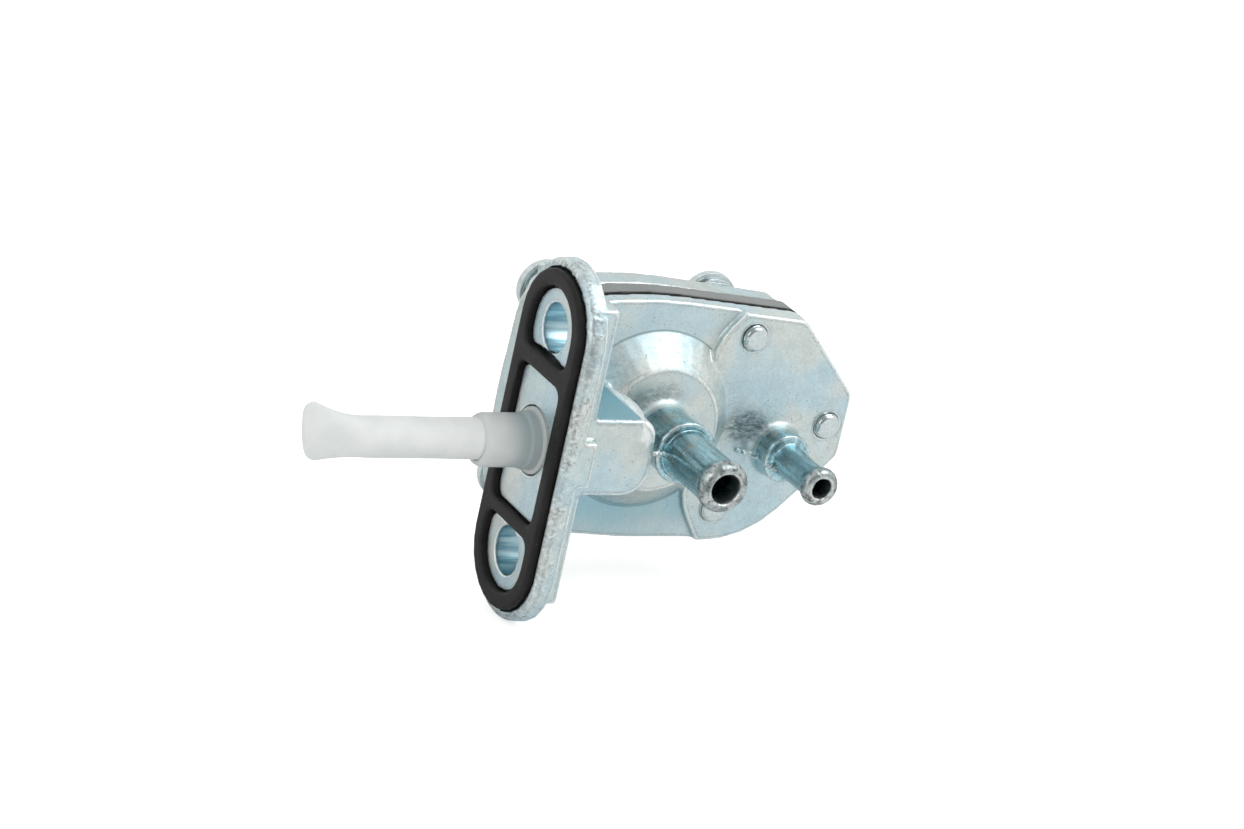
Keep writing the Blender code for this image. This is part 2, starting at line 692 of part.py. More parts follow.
def make_filter_base():
    bore = SCREEN_R + FIT_GAP
    foot_x = FILTER_SEAT_DEPTH - FIT_GAP - BASE_FOOT_LENGTH
    socket_x = BASE_COLLAR_X + SCREEN_SOCKET_DEPTH
    rear = FILTER_SEAT_DEPTH - FIT_GAP
    foot_r = FILTER_SEAT_D / 2 - FIT_GAP
    corner = BASE_SHOULDER_R
    profile = [
        (bore, BASE_COLLAR_X),
        (BASE_COLLAR_R - 0.4 * corner, BASE_COLLAR_X + 0.1 * corner),
        (BASE_COLLAR_R, BASE_COLLAR_X + corner),
        (BASE_COLLAR_R, BASE_RING_X),
        (BASE_RING_R, BASE_RING_X + (BASE_RING_R - BASE_COLLAR_R)),
        (BASE_RING_R, foot_x),
        (foot_r, foot_x),
        (foot_r, rear),
        (BASE_BORE_R, rear),
        (BASE_BORE_R, socket_x),
        (bore, socket_x),
        (bore, BASE_COLLAR_X),
    ]
    base = turned("filter_base", profile, "X", (0, 0), SMALL_STEPS, PARTS)
    return finished(base, "filter_base", NYLON)


def screen_section(x, root_x):
    """Half height, half width, middle height and slant of the screen's section at x."""
    flare_end_x = SCREEN_TIP_X + SCREEN_TIP_R
    share = min(1, max(0, (SCREEN_ROUND_END_X - x) / (SCREEN_ROUND_END_X - flare_end_x)))
    blend = share ** SCREEN_FLARE_POWER
    half_z = SCREEN_R + (SCREEN_FLARE_HALF - SCREEN_R) * blend
    half_y = SCREEN_R + (SCREEN_SEAM_HALF - SCREEN_R) * share
    lift = SCREEN_LIFT * min(1, (root_x - x) / SCREEN_SOCKET_DEPTH)
    return half_z, half_y, lift + SCREEN_FLARE_LIFT * blend, SCREEN_TIP_SLANT * share


def make_filter_screen():
    """A soft tube whose free end is pinched to a flat, flared and rounded seam."""
    root_x = BASE_COLLAR_X + SCREEN_SOCKET_DEPTH - FIT_GAP
    flare_length = SCREEN_TIP_X + SCREEN_TIP_R - SCREEN_ROUND_END_X
    places = [root_x, BASE_COLLAR_X]
    places += [SCREEN_ROUND_END_X + flare_length * i / 7 for i in range(8)]
    bm = bmesh.new()
    ring = bmesh.ops.create_circle(bm, cap_ends=False, segments=SMALL_STEPS, radius=1.0)["verts"]
    flat_ring = [vert.co.copy() for vert in ring]
    edges = list(bm.edges)

    def shape(verts, x, shrink):
        half_z, half_y, lift, slant = screen_section(x, root_x)
        for vert, unit in zip(verts, flat_ring):
            z = lift + unit.y * half_z * shrink
            vert.co = (x - slant * z, unit.x * half_y * (0.5 + 0.5 * shrink), z)

    shape(ring, places[0], 1)
    corner = SCREEN_TIP_R / SCREEN_FLARE_HALF
    tip = [(SCREEN_TIP_X + SCREEN_TIP_R * (1 - math.sin(a)), 1 - corner * (1 - math.cos(a)))
           for a in (math.radians(d) for d in (25, 50, 72, 86))]
    rows = [(x, 1) for x in places[1:]] + tip
    for x, shrink in rows:
        grown = bmesh.ops.extrude_edge_only(bm, edges=edges)["geom"]
        edges = [item for item in grown if isinstance(item, bmesh.types.BMEdge)]
        ring = ordered_ring(edges, ring)
        shape(ring, x, shrink)
    bmesh.ops.contextual_create(bm, geom=edges)
    bmesh.ops.recalc_face_normals(bm, faces=bm.faces)
    mesh = bpy.data.meshes.new("filter_screen")
    bm.to_mesh(mesh)
    bm.free()
    screen = place("filter_screen", mesh, PARTS)
    wall = screen.modifiers.new("wall", "SOLIDIFY")
    wall.thickness = SCREEN_WALL
    wall.offset = -1
    wall.use_rim = True
    return finished(screen, "filter_screen", NYLON)


def ordered_ring(edges, previous):
    """The new ring's points in the order of the ring that they were drawn out of."""
    fresh = {vert for edge in edges for vert in edge.verts}
    ring = []
    for vert in previous:
        ring.append(next(e.other_vert(vert) for e in vert.link_edges if e.other_vert(vert) in fresh))
    return ring


# Diaphragm stack

def stack_piece(name, low, high, material, inset=0, rear_edge_r=0, forms=()):
    """A plate of the stack with its screw holes, its rear edge rounded and forms joined on."""
    piece = flat(name, [stack_outline(inset)], "Y", low, high, PARTS)
    if rear_edge_r:
        round_rim(piece, rear_edge_r, -1, 2)
    for form in forms:
        join(piece, form)
    for spot_name, spot in SCREW_SPOTS.items():
        drill(piece, name + "_hole_" + spot_name, SCREW_HOLE_R, "Y", spot, low - OVERCUT,
              high + OVERCUT, FINE_STEPS)
    return finished(piece, name, material)


def make_front_diaphragm():
    high = FRONT_RUBBER_Y + FRONT_RUBBER_THICK
    rubber = stack_piece("diaphragm_front", FRONT_RUBBER_Y, high, RUBBER)
    spot = (VACUUM_X, VACUUM_Z)
    drill(rubber, "front_vacuum_hole", VACUUM_BORE_R, "Y", spot, FRONT_RUBBER_Y - OVERCUT, high + OVERCUT)
    drill(rubber, "front_stem_hole", STEM_HOLE_R, "Y", (VALVE_X, 0), FRONT_RUBBER_Y - OVERCUT, high + OVERCUT)
    return rubber


def make_spacer():
    spacer = stack_piece("spacer_plate", SPACER_Y, SPACER_REAR_Y, GREY_PLASTIC)
    spot = (VACUUM_X, VACUUM_Z)
    drill(spacer, "spacer_vacuum_hole", VACUUM_BORE_R, "Y", spot, SPACER_Y - OVERCUT, SPACER_REAR_Y + OVERCUT)
    recess_r = REAR_RUBBER_R + FIT_GAP
    recess_y = REAR_RUBBER_Y - FIT_GAP
    profile = [
        (0, SPACER_Y - OVERCUT), (SPACER_HOLE_R, SPACER_Y - OVERCUT), (SPACER_HOLE_R, recess_y),
        (recess_r, recess_y), (recess_r, SPACER_REAR_Y + OVERCUT), (0, SPACER_REAR_Y + OVERCUT),
    ]
    cut(spacer, turned("spacer_opening", profile, "Y", (VALVE_X, 0)))
    weld(spacer)
    return spacer


def make_rear_diaphragm():
    profile = [
        (STEM_HOLE_R, 0), (REAR_RUBBER_R, 0), (REAR_RUBBER_R, REAR_RUBBER_THICK),
        (STEM_HOLE_R, REAR_RUBBER_THICK), (STEM_HOLE_R, 0),
    ]
    rubber = turned("diaphragm_rear", profile, "Y", (VALVE_X, 0), ROUND_STEPS, PARTS)
    rubber.location.y = REAR_RUBBER_Y
    return finished(rubber, "diaphragm_rear", RUBBER)


def make_cover():
    edge = DOME_EDGE_R
    dome = [
        (0, COVER_Y + CAVITY_DEPTH / 2),
        (DOME_BASE_R, COVER_Y + CAVITY_DEPTH / 2),
        (DOME_BASE_R, COVER_REAR_Y),
        *[(DOME_TOP_R - edge + edge * math.cos(a), DOME_TOP_Y - edge + edge * math.sin(a))
          for a in (math.radians(d) for d in (0, 30, 60, 90))],
        (0, DOME_TOP_Y),
    ]
    forms = [turned("dome_form", dome, "Y", (VALVE_X, 0))]
    cover = stack_piece("rear_cover", COVER_Y, COVER_REAR_Y, ZINC, COVER_INSET, COVER_EDGE_R, forms)
    cavity_y = COVER_Y + CAVITY_DEPTH
    cavity = [
        (0, COVER_Y - OVERCUT), (CAVITY_R, COVER_Y - OVERCUT), (CAVITY_R, cavity_y),
        (SPRING_POCKET_R, cavity_y), (SPRING_POCKET_R, SPRING_CEILING_Y), (0, SPRING_CEILING_Y),
    ]
    cut(cover, turned("spring_pocket", cavity, "Y", (VALVE_X, 0)))
    half = VACUUM_BORE_R
    channel_end = arc((VACUUM_X, VACUUM_Z), half, -90, 90)
    channel = [(VALVE_X + CAVITY_R / 2, VACUUM_Z + half), (VALVE_X + CAVITY_R / 2, VACUUM_Z - half), *channel_end]
    cut(cover, flat("vacuum_channel", [channel], "Y", COVER_Y - OVERCUT, COVER_Y + COVER_THICK / 2))
    weld(cover)
    return cover


# Plunger, its seals and its spring: each has its origin on the valve's axis

def on_valve_axis(name, profile, material, steps=ROUND_STEPS):
    """A turned piece whose profile is counted from its own first plane."""
    start = min(along for _, along in profile)
    local = [(radius, along - start) for radius, along in profile]
    piece = turned(name, local, "Y", (VALVE_X, 0), steps, PARTS)
    piece.location.y = start
    return finished(piece, name, material)


def make_plunger():
    nose_y = SEAT_Y - NOSE_LENGTH
    head_end = VALVE_HEAD_Y + VALVE_HEAD_THICK
    backing_y = max(FRONT_BACKING_Y, head_end)
    spigot_y = SEAL_Y - FIT_GAP
    profile = [
        (0, nose_y), (NOSE_R * 0.7, nose_y), (NOSE_R, nose_y + NOSE_LENGTH / 2),
        (NOSE_R, spigot_y), (SPIGOT_R, spigot_y),
        (SPIGOT_R, VALVE_HEAD_Y), (VALVE_HEAD_R, VALVE_HEAD_Y), (VALVE_HEAD_R, backing_y),
        (BACKING_R, backing_y), (BACKING_R, FRONT_BACKING_Y + BACKING_THICK),
        (STEM_R, FRONT_BACKING_Y + BACKING_THICK), (STEM_R, STEM_END_Y), (0, STEM_END_Y),
    ]
    return on_valve_axis("valve_plunger", profile, ACETAL, SMALL_STEPS)


def make_valve_seal():
    bore = SPIGOT_R + FIT_GAP
    corner = 0.2 * MM
    profile = [
        (bore, SEAL_Y), (SEAL_R - corner, SEAL_Y), (SEAL_R, SEAL_Y + corner),
        (SEAL_R, SEAL_Y + SEAL_THICK), (bore, SEAL_Y + SEAL_THICK), (bore, SEAL_Y),
    ]
    return on_valve_axis("valve_seal", profile, RUBBER, SMALL_STEPS)


def make_puck():
    """The distance piece that clamps both diaphragms to the stem."""
    profile = [
        (STEM_HOLE_R, PUCK_Y), (BACKING_R, PUCK_Y), (BACKING_R, PUCK_REAR_Y),
        (STEM_HOLE_R, PUCK_REAR_Y), (STEM_HOLE_R, PUCK_Y),
    ]
    return on_valve_axis("diaphragm_puck", profile, ACETAL, SMALL_STEPS)


def make_spring_seat():
    """A cup that the spring stands in."""
    rear = SPRING_SEAT_Y + SPRING_SEAT_THICK
    wall_r = SPRING_R + SPRING_WIRE_D / 2 + FIT_GAP
    rim_r = wall_r + 0.6 * MM
    profile = [
        (STEM_HOLE_R, SPRING_SEAT_Y), (rim_r, SPRING_SEAT_Y), (rim_r, rear + SPRING_SEAT_LIP),
        (wall_r, rear + SPRING_SEAT_LIP), (wall_r, rear), (STEM_HOLE_R, rear), (STEM_HOLE_R, SPRING_SEAT_Y),
    ]
    return on_valve_axis("spring_seat", profile, ZINC, SMALL_STEPS)


def split_ring(outer, inner, split):
    """A ring with a gap on its +X side, in (X, Z)."""
    outer_gap = math.degrees(math.asin(split / 2 / outer))
    inner_gap = math.degrees(math.asin(split / 2 / inner))
    return arc((0, 0), outer, outer_gap, 360 - outer_gap, 24) + arc((0, 0), inner, 360 - inner_gap, inner_gap, 20)


def make_clip():
    outline = split_ring(CLIP_R, STEM_HOLE_R, CLIP_SLOT)
    clip = flat("retaining_clip", [outline], "Y", 0, CLIP_THICK, PARTS)
    clip.location = (VALVE_X, CLIP_Y + CLIP_THICK / 2, 0)
    return finished(clip, "retaining_clip", SPRING_STEEL)


def make_spring():
    """A coil with one closed turn at each end."""
    low = SPRING_SEAT_Y + SPRING_SEAT_THICK + FIT_GAP + SPRING_WIRE_D / 2
    high = SPRING_CEILING_Y - FIT_GAP - SPRING_WIRE_D / 2
    closed_rise = SPRING_WIRE_D * 1.2
    steps = 12
    count = int(steps * (SPRING_TURNS + 2))
    rise = high - low - 2 * closed_rise

    def height(turn):
        if turn < 1:
            return closed_rise * turn
        if turn > SPRING_TURNS + 1:
            return closed_rise + rise + closed_rise * (turn - SPRING_TURNS - 1)
        return closed_rise + rise * (turn - 1) / SPRING_TURNS

    data = bpy.data.curves.new("return_spring", "CURVE")
    data.dimensions = "3D"
    data.bevel_depth = SPRING_WIRE_D / 2
    data.bevel_resolution = 2
    data.use_fill_caps = True
    spline = data.splines.new("POLY")
    spline.points.add(count)
    for i, point in enumerate(spline.points):
        angle = 2 * math.pi * i / steps
        point.co = (SPRING_R * math.cos(angle), height(i / steps), SPRING_R * math.sin(angle), 1)
    curve = place("return_spring", data, PARTS, (0, 0, 0), (VALVE_X, low, 0))
    bpy.context.view_layer.update()
    return finished(as_mesh(curve), "return_spring", SPRING_STEEL)


# Cover screws and lock washers

def screw_mesh():
    """A pan head screw along Y, its head's underside at Y = 0 and its tip towards -Y."""
    length = HEAD_Y - SCREW_TIP_Y
    edge = SCREW_HEAD_HEIGHT - SCREW_HEAD_RIM
    crown = [
        (SCREW_HEAD_R - edge + edge * math.cos(a), SCREW_HEAD_HEIGHT - edge + edge * math.sin(a))
        for a in (math.radians(d) for d in (0, 30, 60, 90))
    ]
    profile = [
        (0, -length), (SCREW_R - SCREW_TIP_CHAMFER, -length), (SCREW_R, -length + SCREW_TIP_CHAMFER),
        (SCREW_R, 0), (SCREW_HEAD_R, 0), *crown, (0, SCREW_HEAD_HEIGHT),
    ]
    blank = turned("screw_blank", profile, "Y", (0, 0), FINE_STEPS)
    arm, half = RECESS_LENGTH / 2, RECESS_WIDTH / 2
    tip = RECESS_TAPER * half
    cross = [
        (arm, tip), (half, half), (tip, arm), (-tip, arm), (-half, half), (-arm, tip),
        (-arm, -tip), (-half, -half), (-tip, -arm), (tip, -arm), (half, -half), (arm, -tip),
    ]
    recess = flat("cross_recess", [cross], "Y", SCREW_HEAD_HEIGHT - RECESS_DEPTH, SCREW_HEAD_HEIGHT + OVERCUT)
    cut(blank, recess)
    bpy.context.view_layer.update()
    graph = bpy.context.evaluated_depsgraph_get()
    mesh = bpy.data.meshes.new_from_object(blank.evaluated_get(graph))
    mesh.transform(Matrix.Rotation(math.radians(90), 4, "X"))
    mesh.name = "cover_screw"
    use_as_tool(blank)
    return mesh


def make_screws():
    mesh = screw_mesh()
    outline = split_ring(WASHER_OUTER_R, SCREW_R + FIT_GAP, WASHER_SPLIT)
    turn = {"front_top": 10, "front_bottom": 55, "end": 30, "rear_top": 75, "rear_bottom": 40}
    for name, (x, z) in SCREW_SPOTS.items():
        angle = math.radians(turn[name])
        screw = place("cover_screw_" + name, mesh, PARTS, (0, angle, 0), (x, HEAD_Y, z))
        finished(screw, "cover_screw_" + name, SCREW_ZINC)
        washer = flat("lock_washer_" + name, [outline], "Y", 0, WASHER_THICK, PARTS)
        washer.rotation_euler = (math.radians(90), 2 * angle, 0)
        washer.location = (x, WASHER_Y + WASHER_THICK / 2, z)
        finished(washer, "lock_washer_" + name, SCREW_ZINC)


make_body()
make_gasket()
make_filter_base()
make_filter_screen()
make_front_diaphragm()
make_spacer()
make_rear_diaphragm()
make_cover()
make_plunger()
make_valve_seal()
make_puck()
make_spring_seat()
make_clip()
make_spring()
make_screws()
bpy.context.view_layer.update()
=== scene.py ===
"""Vacuum fuel tap in its studio: cast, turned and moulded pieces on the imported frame.

Metres throughout, in the frame of the CAD model: -X points into the fuel tank, +Z runs
along the flange, and the hose nipples point to -Y.
"""
import math

import bmesh
import bpy
from mathutils import Matrix, Vector, noise


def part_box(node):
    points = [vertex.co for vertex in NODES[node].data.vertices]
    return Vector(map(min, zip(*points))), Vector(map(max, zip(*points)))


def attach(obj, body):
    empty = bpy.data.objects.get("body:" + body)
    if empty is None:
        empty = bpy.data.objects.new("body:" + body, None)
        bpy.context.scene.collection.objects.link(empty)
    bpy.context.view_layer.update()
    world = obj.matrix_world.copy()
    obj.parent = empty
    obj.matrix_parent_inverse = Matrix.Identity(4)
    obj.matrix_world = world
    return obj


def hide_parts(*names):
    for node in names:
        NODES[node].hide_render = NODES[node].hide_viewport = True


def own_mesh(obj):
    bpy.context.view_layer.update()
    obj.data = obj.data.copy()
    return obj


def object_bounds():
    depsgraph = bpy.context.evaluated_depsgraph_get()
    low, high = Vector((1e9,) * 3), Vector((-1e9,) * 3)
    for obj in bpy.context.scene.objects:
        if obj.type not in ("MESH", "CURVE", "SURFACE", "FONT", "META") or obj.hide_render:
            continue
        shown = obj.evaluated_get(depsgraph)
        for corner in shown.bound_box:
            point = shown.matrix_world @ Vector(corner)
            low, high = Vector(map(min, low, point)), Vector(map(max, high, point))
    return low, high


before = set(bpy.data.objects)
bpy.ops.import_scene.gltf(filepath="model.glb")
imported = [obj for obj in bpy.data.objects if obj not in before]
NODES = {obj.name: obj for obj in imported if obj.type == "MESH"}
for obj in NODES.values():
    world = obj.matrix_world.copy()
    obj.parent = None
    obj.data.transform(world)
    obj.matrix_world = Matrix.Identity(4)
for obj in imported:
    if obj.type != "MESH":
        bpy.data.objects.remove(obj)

CAD_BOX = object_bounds()
MM = 0.001
FULL_TURN = 2 * math.pi
SCREWS = ("front_top", "front_bottom", "end", "rear_top", "rear_bottom")

# Places that meshes and materials share: axes along Y as (X, Z), the plate's face, the boss's foot

FUEL_AXIS = (23.04 * MM, 0)
VACUUM_AXIS = (44.84 * MM, -3.74 * MM)
PLATE_Y = 8.5 * MM
SEAM_R = 13.8 * MM


# Camera, as solved from the photograph

def make_camera():
    azimuth, elevation, roll = (math.radians(a) for a in (31.371, 19.717, 12.723))
    distance = 644.77 * MM
    pixels_per_metre = 7.136 / MM
    origin_pixel = (530.204, 440.145)
    image_width, image_height = 1244, 829
    focal_pixels = pixels_per_metre * distance
    level = math.cos(elevation)
    back = Vector((-math.sin(azimuth) * level, -math.cos(azimuth) * level, math.sin(elevation)))
    right = Vector((math.cos(azimuth), -math.sin(azimuth), 0))
    up = back.cross(right)
    rolled_right = math.cos(roll) * right + math.sin(roll) * up
    rolled_up = math.cos(roll) * up - math.sin(roll) * right
    turn = Matrix((rolled_right, rolled_up, back))
    offset = Vector((
        (origin_pixel[0] - image_width / 2) / focal_pixels * distance,
        -(origin_pixel[1] - image_height / 2) / focal_pixels * distance,
        -distance,
    ))
    data = bpy.data.cameras.new("camera")
    data.sensor_width = 36
    data.lens = focal_pixels * data.sensor_width / image_width
    data.clip_start = 0.01
    camera = bpy.data.objects.new("camera", data)
    bpy.context.scene.collection.objects.link(camera)
    camera.matrix_world = Matrix.Translation(-(turn.transposed() @ offset)) @ turn.transposed().to_4x4()
    bpy.context.scene.camera = camera


# Node helpers

def add(tree, kind, inputs=None, **settings):
    """Add a node, give it its settings, and set or link its inputs."""
    node = tree.nodes.new("ShaderNode" + kind)
    for name, value in settings.items():
        setattr(node, name, value)
    for name, value in (inputs or {}).items():
        if isinstance(value, bpy.types.NodeSocket):
            tree.links.new(value, node.inputs[name])
        else:
            node.inputs[name].default_value = value
    return node


def calc(tree, operation, first, second=0.0, third=0.0):
    return add(tree, "Math", {0: first, 1: second, 2: third}, operation=operation).outputs[0]


def times(tree, first, second):
    return calc(tree, "MULTIPLY", first, second)


def raised(tree, value, mask, amount):
    """A value, raised by an amount where a mask is strong."""
    return calc(tree, "MULTIPLY_ADD", mask, amount, value)


def spread(tree, value, low, high, to_low=0.0, to_high=1.0):
    """Map a value from one range to another, smoothly and clamped."""
    sockets = {"Value": value, "From Min": low, "From Max": high, "To Min": to_low, "To Max": to_high}
    return add(tree, "MapRange", sockets, interpolation_type="SMOOTHSTEP").outputs["Result"]


def mix(tree, share, first, second, blend="MIX"):
    node = add(tree, "Mix", data_type="RGBA", blend_type=blend)
    for socket, value in zip((node.inputs[0], node.inputs[6], node.inputs[7]), (share, first, second)):
        if isinstance(value, bpy.types.NodeSocket):
            tree.links.new(value, socket)
        else:
            socket.default_value = value if socket.type == "VALUE" else (*value[:3], 1)
    return node.outputs[2]


def lay(tree, mask, strength, under, over):
    """Lay a colour over another where a mask is strong."""
    return mix(tree, times(tree, mask, strength), under, over)


def speckle(tree, vector, scale, detail=2.0, roughness=0.5):
    sockets = {"Vector": vector, "Scale": scale, "Detail": detail, "Roughness": roughness}
    return add(tree, "TexNoise", sockets).outputs["Fac"]


def drawn_speckle(tree, place, scale, detail, roughness, rotation=(0, 0, 0)):
    """Speckle drawn out along the axes whose scale is small."""
    drawn = add(tree, "Mapping", {"Vector": place, "Rotation": rotation, "Scale": scale}).outputs[0]
    return speckle(tree, drawn, 1.0, detail, roughness)


def grey_from(tree, value):
    return add(tree, "CombineColor", {0: value, 1: value, 2: value}).outputs[0]


def painted(tree, name):
    """The strength of an area that was painted on the piece's points."""
    return add(tree, "Attribute", attribute_name=name).outputs["Fac"]


def new_group(name, inputs, outputs):
    """A shader node group with (name, kind, default) inputs and (name, kind) outputs."""
    group = bpy.data.node_groups.new(name, "ShaderNodeTree")
    for label, kind, value in inputs:
        socket = group.interface.new_socket(label, in_out="INPUT", socket_type="NodeSocket" + kind)
        socket.default_value = value
    for label, kind in outputs:
        group.interface.new_socket(label, in_out="OUTPUT", socket_type="NodeSocket" + kind)
    return group, group.nodes.new("NodeGroupInput"), group.nodes.new("NodeGroupOutput")


def new_material(name):
    material = bpy.data.materials.new(name)
    material.use_nodes = True
    tree = material.node_tree
    return material, tree, tree.nodes["Principled BSDF"]


def feed(tree, shader, colour, roughness, height, depth):
    """Link the shader's colour and roughness, and its normal through a bump of a depth."""
    tree.links.new(colour, shader.inputs["Base Color"])
    tree.links.new(roughness, shader.inputs["Roughness"])
    bump = add(tree, "Bump", {"Height": height, "Distance": depth, "Strength": 1.0})
    tree.links.new(bump.outputs["Normal"], shader.inputs["Normal"])


# Colours of wear and stains, and of painted shade, reflection, glints and highlights

PIT_BROWN = (0.13, 0.10, 0.08)
FLOW_GREY = (0.24, 0.25, 0.24)
# Walls of the holes: painted shade, mixed by drawn lines
BORE_SHADE = (0.20, 0.37, 0.45)
BORE_LIGHT = (0.50, 0.68, 0.73)
RIM_DARK = (0.24, 0.23, 0.22)
RIM_LIGHT = (0.88, 0.90, 0.90)
# Painted shadow and shade beside the nipples, over dark rough casting and stain
SMEAR_AND_SHADOW_DARK = (0.07, 0.13, 0.16)
# Painted shade and reflection, teal, where the casting faces itself
REFLECTED_SHADE_TEAL = (0.21, 0.43, 0.51)
# Painted glints on the boss's cone
CONE_GLINT = (0.86, 0.90, 0.90)
# Painted specks of shade on the boss's cone
CONE_SHADE_SPECK = (0.20, 0.27, 0.28)
# Painted shade in the crease at the foot of the boss's cone
SEAM_SHADE = (0.16, 0.26, 0.29)
# Painted highlight on the hump's rounded end
HIGHLIGHT_WHITE = (0.93, 0.95, 0.95)
# Brown borders along edges: partly real tint, partly painted shade
EDGE_BROWN_AND_SHADE = (0.34, 0.31, 0.27)
# Light crests of edges: wear and painted highlight
CREST_WEAR_AND_HIGHLIGHT = (0.88, 0.91, 0.89)
NOSE_DARK = (0.22, 0.235, 0.23)
NOSE_LIGHT = (0.56, 0.58, 0.565)
STAIN_BROWN = (0.13, 0.125, 0.115)
TAN = (0.50, 0.47, 0.40)
LIP_LIGHT = (0.80, 0.82, 0.80)
RUBBER_DUST = (0.25, 0.25, 0.24)
NYLON_DARK = (0.78, 0.81, 0.80)
NYLON_LIGHT = (0.84, 0.865, 0.855)
SEAT_SHADE = (0.50, 0.60, 0.62)


# Shared effects

def pit_mask(tree, place, share):
    """Pits of two sizes, in the random cells that lie above a share."""
    hollow = 0.0
    for scale, width in ((620.0, 0.11), (1500.0, 0.16)):
        cells = add(tree, "TexVoronoi", {"Vector": place, "Scale": scale, "Randomness": 1.0})
        picked = add(tree, "SeparateColor", {0: cells.outputs["Color"]}).outputs[0]
        chosen = calc(tree, "GREATER_THAN", picked, share)
        hole = times(tree, spread(tree, cells.outputs["Distance"], width, width * 0.45), chosen)
        hollow = calc(tree, "MAXIMUM", hollow, hole)
    return hollow


def flow_mask(tree, place):
    """Wandering hairlines, in a few places only."""
    wander = add(tree, "TexNoise", {"Vector": place, "Scale": 160.0, "Detail": 2.0}).outputs["Color"]
    push = add(tree, "VectorMath", {0: wander, 3: 0.012}, operation="SCALE").outputs[0]
    bent = add(tree, "VectorMath", {0: place, 1: push}, operation="ADD").outputs[0]
    flow = add(tree, "TexVoronoi", {"Vector": bent, "Scale": 75.0}, feature="DISTANCE_TO_EDGE")
    line = spread(tree, flow.outputs["Distance"], 0.008, 0.002)
    return times(tree, line, spread(tree, speckle(tree, place, 210, 2), 0.60, 0.68))


def make_cast_skin():
    """Mottled plating with grain, pits and faint flow lines, for castings."""
    group, given, made = new_group(
        "cast_skin",
        [("Cool", "Color", (0.52, 0.64, 0.70, 1)), ("Warm", "Color", (0.64, 0.63, 0.58, 1)),
         ("Pits", "Float", 0.8), ("Grain", "Float", 1.0), ("Polish", "Float", 0.34)],
        [("Color", "Color"), ("Roughness", "Float"), ("Height", "Float")],
    )
    place = add(group, "TexCoord").outputs["Object"]
    patches = speckle(group, place, 110, 4, 0.55)
    clouds = speckle(group, place, 420, 3, 0.6)
    grain = speckle(group, place, 2600, 3, 0.7)
    colour = mix(group, spread(group, patches, 0.35, 0.7), given.outputs["Cool"], given.outputs["Warm"])
    tone = spread(group, clouds, 0.25, 0.75, 0.92, 1.05)
    tone = times(group, tone, spread(group, grain, 0.2, 0.8, 0.88, 1.08))
    colour = mix(group, 1.0, colour, grey_from(group, tone), "MULTIPLY")
    hollow = pit_mask(group, place, given.outputs["Pits"])
    colour = lay(group, hollow, 0.75, colour, PIT_BROWN)
    line = flow_mask(group, place)
    colour = lay(group, line, 0.35, colour, FLOW_GREY)

    rough = raised(group, given.outputs["Polish"], clouds, 0.16)
    rough = raised(group, rough, hollow, 0.25)
    height = raised(group, times(group, grain, 0.5), clouds, 0.9)
    height = times(group, height, given.outputs["Grain"])
    height = raised(group, height, hollow, -2.2)
    height = raised(group, height, line, -0.2)
    group.links.new(colour, made.inputs["Color"])
    group.links.new(rough, made.inputs["Roughness"])
    group.links.new(height, made.inputs["Height"])
    return group


def make_turning_marks():
    """Fine rings left by a lathe on a piece whose axis is along Y, with streaks and stains."""
    group, given, made = new_group(
        "turning_marks", [("Contrast", "Float", 1.0)],
        [("Shade", "Float"), ("Stain", "Float"), ("Height", "Float")],
    )
    place = add(group, "TexCoord").outputs["Object"]
    rings = drawn_speckle(group, place, (60, 4200, 60), 4, 0.6)
    streaks = drawn_speckle(group, place, (1500, 150, 1500), 4, 0.65)
    shade = spread(group, rings, 0.25, 0.75, 0.93, 1.05)
    shade = times(group, shade, spread(group, streaks, 0.3, 0.7, 0.62, 1.25))
    shade = raised(group, 1.0, calc(group, "SUBTRACT", shade, 1.0), given.outputs["Contrast"])
    stain = spread(group, speckle(group, place, 1300, 4, 0.65), 0.5, 0.62)
    group.links.new(shade, made.inputs["Shade"])
    group.links.new(stain, made.inputs["Stain"])
    group.links.new(raised(group, rings, streaks, 1.4), made.inputs["Height"])
    return group


CAST_SKIN = make_cast_skin()
TURNING_MARKS = make_turning_marks()


# Cast zinc, whose coat is worked up area by area

def tint(tree, coat, mask, strength, over):
    coat["colour"] = lay(tree, mask, strength, coat["colour"], over)


def emboss(tree, coat, mask, amount):
    coat["height"] = raised(tree, coat["height"], mask, amount)


def shade_and_draw_bores(tree, place, coat):
    """Blue walls with drawn lines, darkened by painted shade, in the bolt holes and the filter's seat."""
    drawn = drawn_speckle(tree, place, (90, 1300, 1300), 3, 0.6)
    wall = mix(tree, spread(tree, drawn, 0.35, 0.65), BORE_SHADE, BORE_LIGHT)
    bore = painted(tree, "bore")
    # Painted shade: the hole walls take a darker blue than the skin
    coat["colour"] = mix(tree, bore, coat["colour"], wall)
    coat["roughness"] = raised(tree, coat["roughness"], bore, -0.08)


def wear_rim(tree, place, coarse, coat):
    """Light and dark speckle on the flange's rough shoulder."""
    worn = speckle(tree, place, 330, 3, 0.6)
    rim = painted(tree, "rim")
    pitted = times(tree, spread(tree, worn, 0.42, 0.62), rim)
    tint(tree, coat, times(tree, spread(tree, coarse, 0.54, 0.60), pitted), 0.75, RIM_DARK)
    tint(tree, coat, times(tree, spread(tree, coarse, 0.46, 0.38), rim), 0.5, RIM_LIGHT)
    emboss(tree, coat, times(tree, coarse, rim), 2.4)


